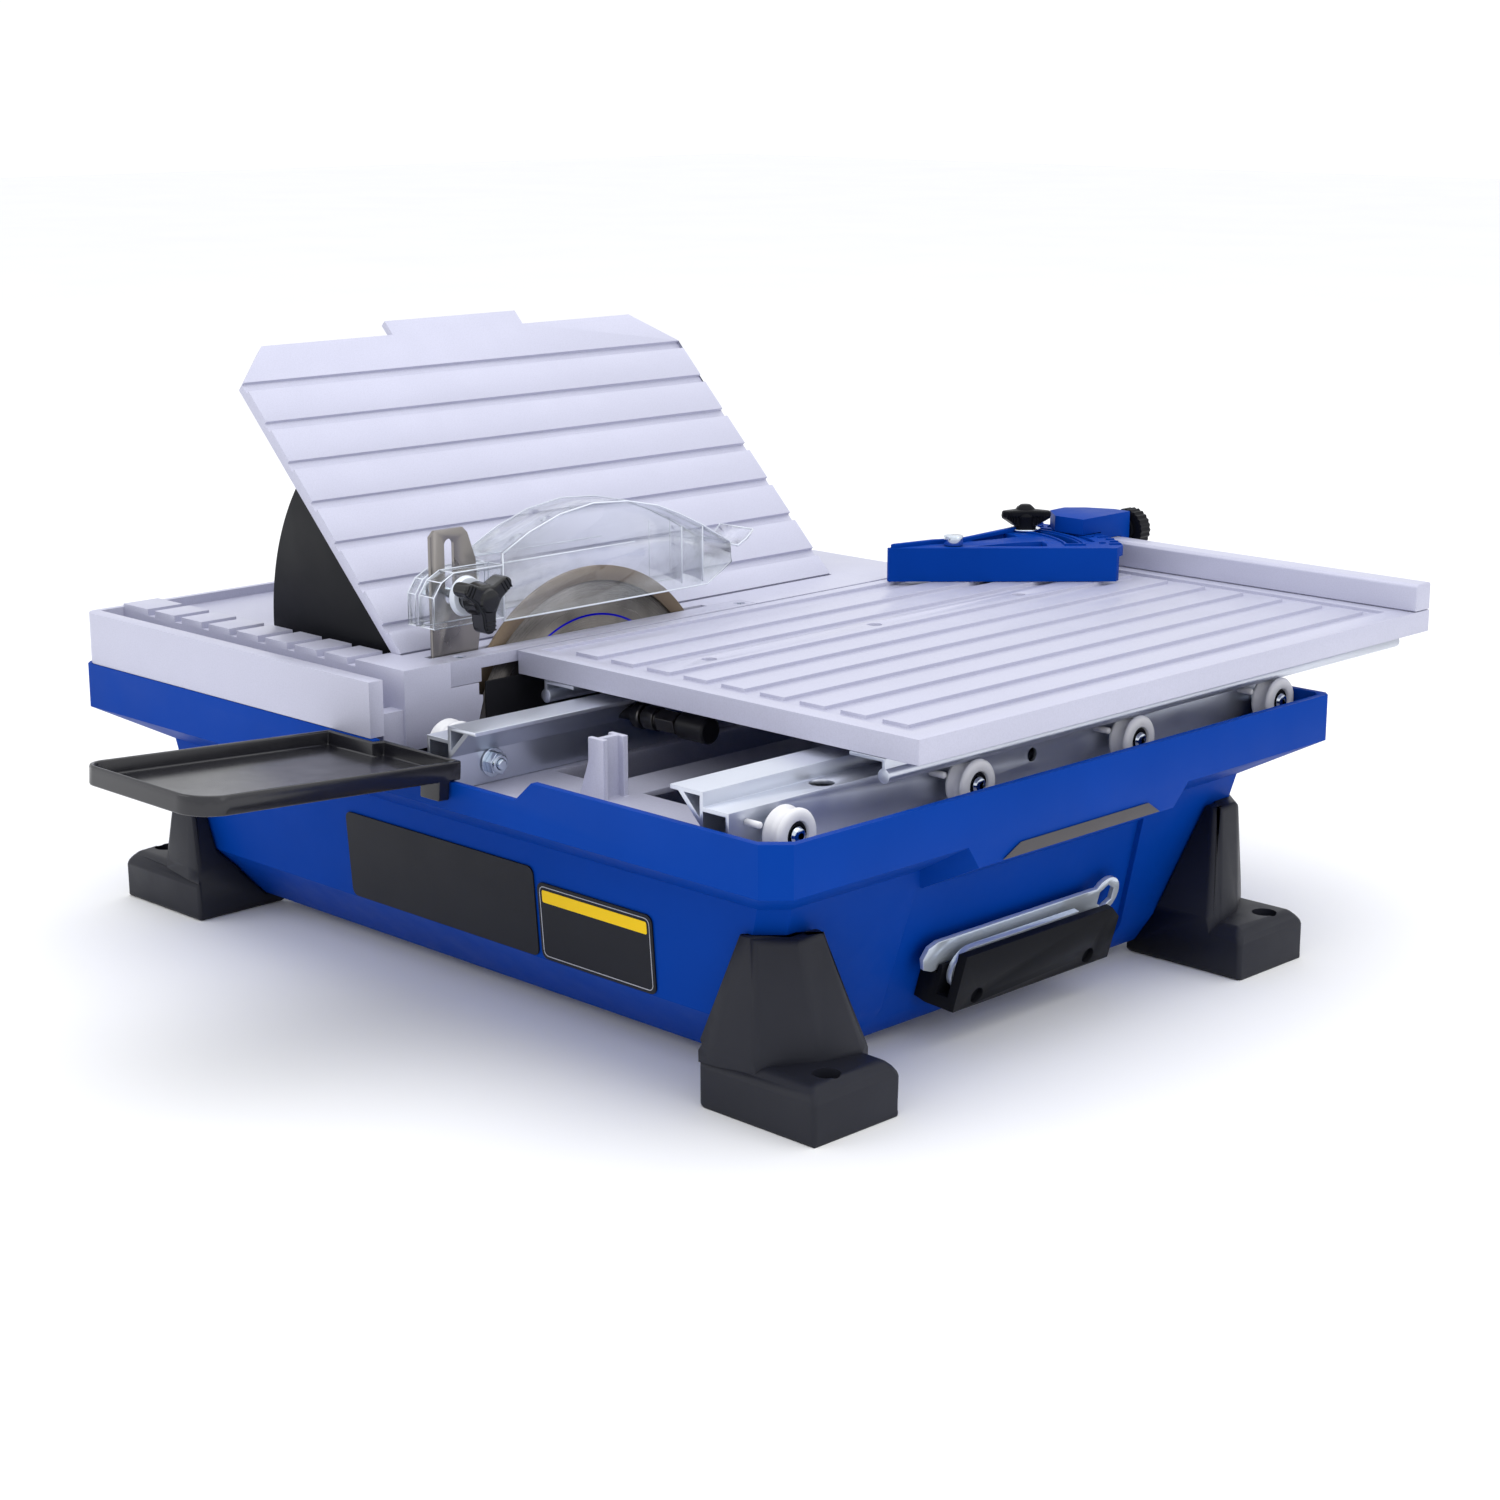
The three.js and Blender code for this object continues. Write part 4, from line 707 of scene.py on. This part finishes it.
def guide():
    """The moulded guide: radial pockets, a rimmed slot and a raised scale."""
    place = Matrix.Translation((17, 193.8, 0)) @ Matrix.Rotation(45 * DEG, 4, "Z")
    top = extent("guide_body")[1].z
    pockets = (
        ("pocket_a", [(9, 17), (13, 14.5), (24, 20), (40, 30), (38.5, 37), (33, 44), (28, 42)], 5),
        ("pocket_b", [(12, -3.2), (54, -3.2), (54.6, 6), (52.5, 13.2), (44, 11.5), (30, 6.2)], 5),
        ("scale_groove", band(84.4, 80.2, 8, 50, 20), 1.4))
    tools = [Piece().prism(plan, top - depth, top + 3, place).mesh_object(label)
             for label, plan, depth in pockets]
    body = carved(NODES["guide_body"], tools, "guide_body_moulded")
    dress(body, "guide", "blue_plastic", BLUE, 0.7, ("guide_body",))
    raised = Piece()
    raised.prism(band(76.6, 75.2, 1, 52, 20), top - 0.4, top + 1.0, place)
    raised.prism(band(65.6, 64.2, 1, 52, 20), top - 0.4, top + 1.0, place)
    raised.prism(rectangle(64.2, 76.6, -0.4, 1.0), top - 0.4, top + 1.0, place)
    raised.finish("guide_slot_rim", "guide", "blue_plastic", BLUE, 0.3)
    ticks = Piece()
    for degrees in range(0, 51, 5):
        spin = place @ Matrix.Rotation((degrees + 2) * DEG, 4, "Z")
        inner = 90.5 if degrees % 15 == 0 else 92.5
        ticks.prism(rectangle(inner, 97.6, -0.45, 0.45), top - 0.3, top + 0.8, spin)
    ticks.finish("guide_ticks", "guide", "blue_plastic", BLUE, 0.15)
    for number in (0, 15, 30, 45):
        words = bpy.data.curves.new(f"guide_number_{number}", "FONT")
        words.body = str(number)
        words.size = 5.6 * MM
        words.extrude = 0.35 * MM
        words.bevel_depth = 0.06 * MM
        words.align_x = "CENTER"
        words.align_y = "CENTER"
        holder = bpy.data.objects.new(f"guide_number_{number}", words)
        bpy.context.scene.collection.objects.link(holder)
        spin = place @ Matrix.Rotation((number + 5) * DEG, 4, "Z")
        spot = spin @ Vector((87.2, 0, top + 0.3))
        turn = Matrix.Rotation((number - 40) * DEG, 4, "Z")
        holder.matrix_world = Matrix.Translation(at(*spot)) @ turn
        words.materials.append(BLUE)
        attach(holder, "guide")
    rib = Piece()
    rib.prism([(-37, -7.7), (-33.2, -8.4), (-10.8, 5.4), (5.2, 10), (53, 62.5), (50.5, 66), (4, 12.8),
               (-12, 8.3)], top - 0.5, top + 2.4, place)
    rib.finish("guide_long_rib", "guide", "blue_plastic", BLUE, 0.8)


guide()

# ------------------------------------------------------------------ small fasteners and plates

def throat_screws():
    for label, y in (("front", -144.2), ("back", 55.2)):
        place = along("+z", -19.5, y, 168.2)
        screw(f"throat_screw_{label}", place, 3.3, "base", cross=True, height=1.4)


def rail_hardware():
    centre = middle("rail_bolt")
    start = extent("rail_bolt")[0].x
    place = along("+x", start, centre.y, centre.z)
    nut = Piece()
    nut.turned([(0, 2.9), (0, 7.2), (1.0, 7.2), (1.0, 2.9), (0, 2.9)], place, 32)
    nut.prism(circle(5.8, 6, start=0.3), 1.0, 5.4, place)
    nut.turned([(5.4, 2.9), (5.4, 4.9), (6.6, 4.4), (6.6, 2.9), (5.4, 2.9)], place, 32)
    nut.turned([(5.0, 0), (5.0, 2.7), (7.8, 2.7), (8.3, 2.2), (8.3, 0)], place, 24)
    nut.finish("rail_bolt_nut", "base", "zinc_steel", ZINC, 0.3, ("rail_bolt",))


def stop_rod():
    centre = middle("table_stop_bolt")
    place = along("+x", extent("table_stop_bolt")[0].x, centre.y, centre.z)
    rod = Piece()
    rod.turned([(0, 0), (0, 4.0), (13.8, 4.0), (13.8, 6.8), (18.4, 6.8), (19.2, 6.2), (19.2, 0)], place, 36)
    rod.turned([(19, 0), (19, 4.6), (21, 4.6), (21, 6.2), (29, 6.2), (29, 4.7), (31, 4.7), (31, 0)],
               place, 36)
    rod.prism(circle(6.3, 6, start=0.2), 31.2, 44, place)
    rod.finish("stop_rod_steel", "base", "bare_steel", DARK_STEEL, 0.3, ("table_stop_bolt",))
    sleeve = Piece()
    sleeve.turned([(43.8, 0), (43.8, 4.6), (46.4, 4.6), (46.4, 6.8), (64.2, 6.8), (65.2, 5.8),
                   (65.2, 0)], place, 36)
    sleeve.finish("stop_rod_sleeve", "base", "bare_steel", MOTOR, 0.3)


def rating_plates():
    """Two blank plates; the smaller one has a light border and a plain yellow strip."""
    z0 = 60.0
    lean = math.atan((37 - 32.5) / (97 - 38))
    y0 = -209 + 37 - (z0 - 38) * math.tan(lean)
    wall = Matrix.Translation((0, y0, z0)) @ Matrix.Rotation(lean, 4, "X")
    stand = wall @ Matrix(((1, 0, 0, 0), (0, 0, -1, 0), (0, 1, 0, 0), (0, 0, 0, 1)))
    left = rounded_box(-76.5, 71.0, -21.2, 25.0, 4)
    right = rounded_box(73.4, 154.0, -21.2, 18.5, 4)
    for label, plan, replaced in (("plate_left", left, ("rating_plate",)), ("plate_right", right, ())):
        plate = Piece().prism(plan, 0.25, 1.1, stand)
        plate.finish(label, "base", "plate_film", FILM, 0.2, replaced)
    corners = rounded_box(75.3, 152.1, -19.3, 16.6, 3)
    line = Piece().tube([(x, -1.05, z) for x, z in corners + corners[:1]], 0.25, 6, wall)
    line.finish("plate_right_line", "base", "plate_film", BORDER, 0)
    Piece().prism(rounded_box(77, 150.4, 8.6, 14.9, 1.0), 0.9, 1.3, stand).finish(
        "plate_yellow_strip", "base", "plate_film", YELLOW, 0.1)


def blade_shroud():
    """A thin dark sheet between the throat plate and the water, put there as painted shade: it hides the
    blade's upper half under the table, where it lies in shade.
    """
    wall = Piece().prism([(-133, 137), (44, 137), (44, 156.5), (-133, 156.5)], -14.0, -12.7, FROM_THE_SIDE)
    wall.finish("blade_shroud", "base", "black_plastic", MOTOR, 0.3)


throat_screws()
blade_shroud()
rail_hardware()
stop_rod()
rating_plates()

# ------------------------------------------------------------------ colour of a few single nodes

for name, material in (("side_trim", SCREEN), ("splash_tray", TRAY), ("wrench_ring", CHROME),
                       ("wrench_flat", CHROME)):
    NODES[name].data.materials.clear()
    NODES[name].data.materials.append(material)

# ------------------------------------------------------------------ stage

def stage_floor():
    mesh = bpy.data.meshes.new("floor")
    half = 9.0
    mesh.from_pydata([(-half, -half, 0), (half, -half, 0), (half, half, 0), (-half, half, 0)], [],
                     [(0, 1, 2, 3)])
    floor = bpy.data.objects.new("floor", mesh)
    bpy.context.scene.collection.objects.link(floor)
    material, tree, bsdf = new_material("floor_paper")
    coords = node(tree, "ShaderNodeTexCoord").outputs["Object"]
    tone = ramp(tree, noise(tree, coords, 3.0), 0.3, 0.7, 0.91, 0.93)
    tree.links.new(tone, bsdf.inputs["Base Color"])
    bsdf.inputs["Roughness"].default_value = 0.9
    bsdf.inputs["Specular IOR Level"].default_value = 0.1
    mesh.materials.append(material)


def area_light(name, place, target, size, power, color=(1, 1, 1)):
    data = bpy.data.lights.new(name, "AREA")
    data.shape = "RECTANGLE"
    data.size, data.size_y = size
    data.energy = power
    data.color = color
    lamp = bpy.data.objects.new(name, data)
    bpy.context.scene.collection.objects.link(lamp)
    lamp.location = place
    aim = Vector(target) - Vector(place)
    lamp.rotation_euler = aim.to_track_quat("-Z", "Y").to_euler()


def studio():
    world = bpy.data.worlds.new("studio")
    world.use_nodes = True
    background = world.node_tree.nodes["Background"]
    background.inputs["Color"].default_value = (0.97, 0.98, 1.0, 1.0)
    background.inputs["Strength"].default_value = 1.1
    bpy.context.scene.world = world
    bpy.context.scene.view_settings.view_transform = "Standard"
    area_light("top_soft", (0.1, 0.3, 2.2), (0, 0, 0.1), (2.6, 2.6), 20)
    area_light("left_key", (-1.2, -2.0, 1.4), (0, 0, 0.15), (1.6, 1.2), 6)
    area_light("right_fill", (2.3, 0.0, 1.0), (0, 0, 0.15), (1.4, 1.2), 4)


def camera():
    data = bpy.data.cameras.new("photo_camera")
    data.sensor_width = 36.0
    data.lens = 66.6
    data.clip_start = 0.05
    holder = bpy.data.objects.new("photo_camera", data)
    bpy.context.scene.collection.objects.link(holder)
    holder.location = at(1048.5, -1013.6, 463.1)
    holder.rotation_euler = (math.radians(90 - 14.01), 0, math.radians(44.75))
    bpy.context.scene.camera = holder


stage_floor()
studio()
camera()
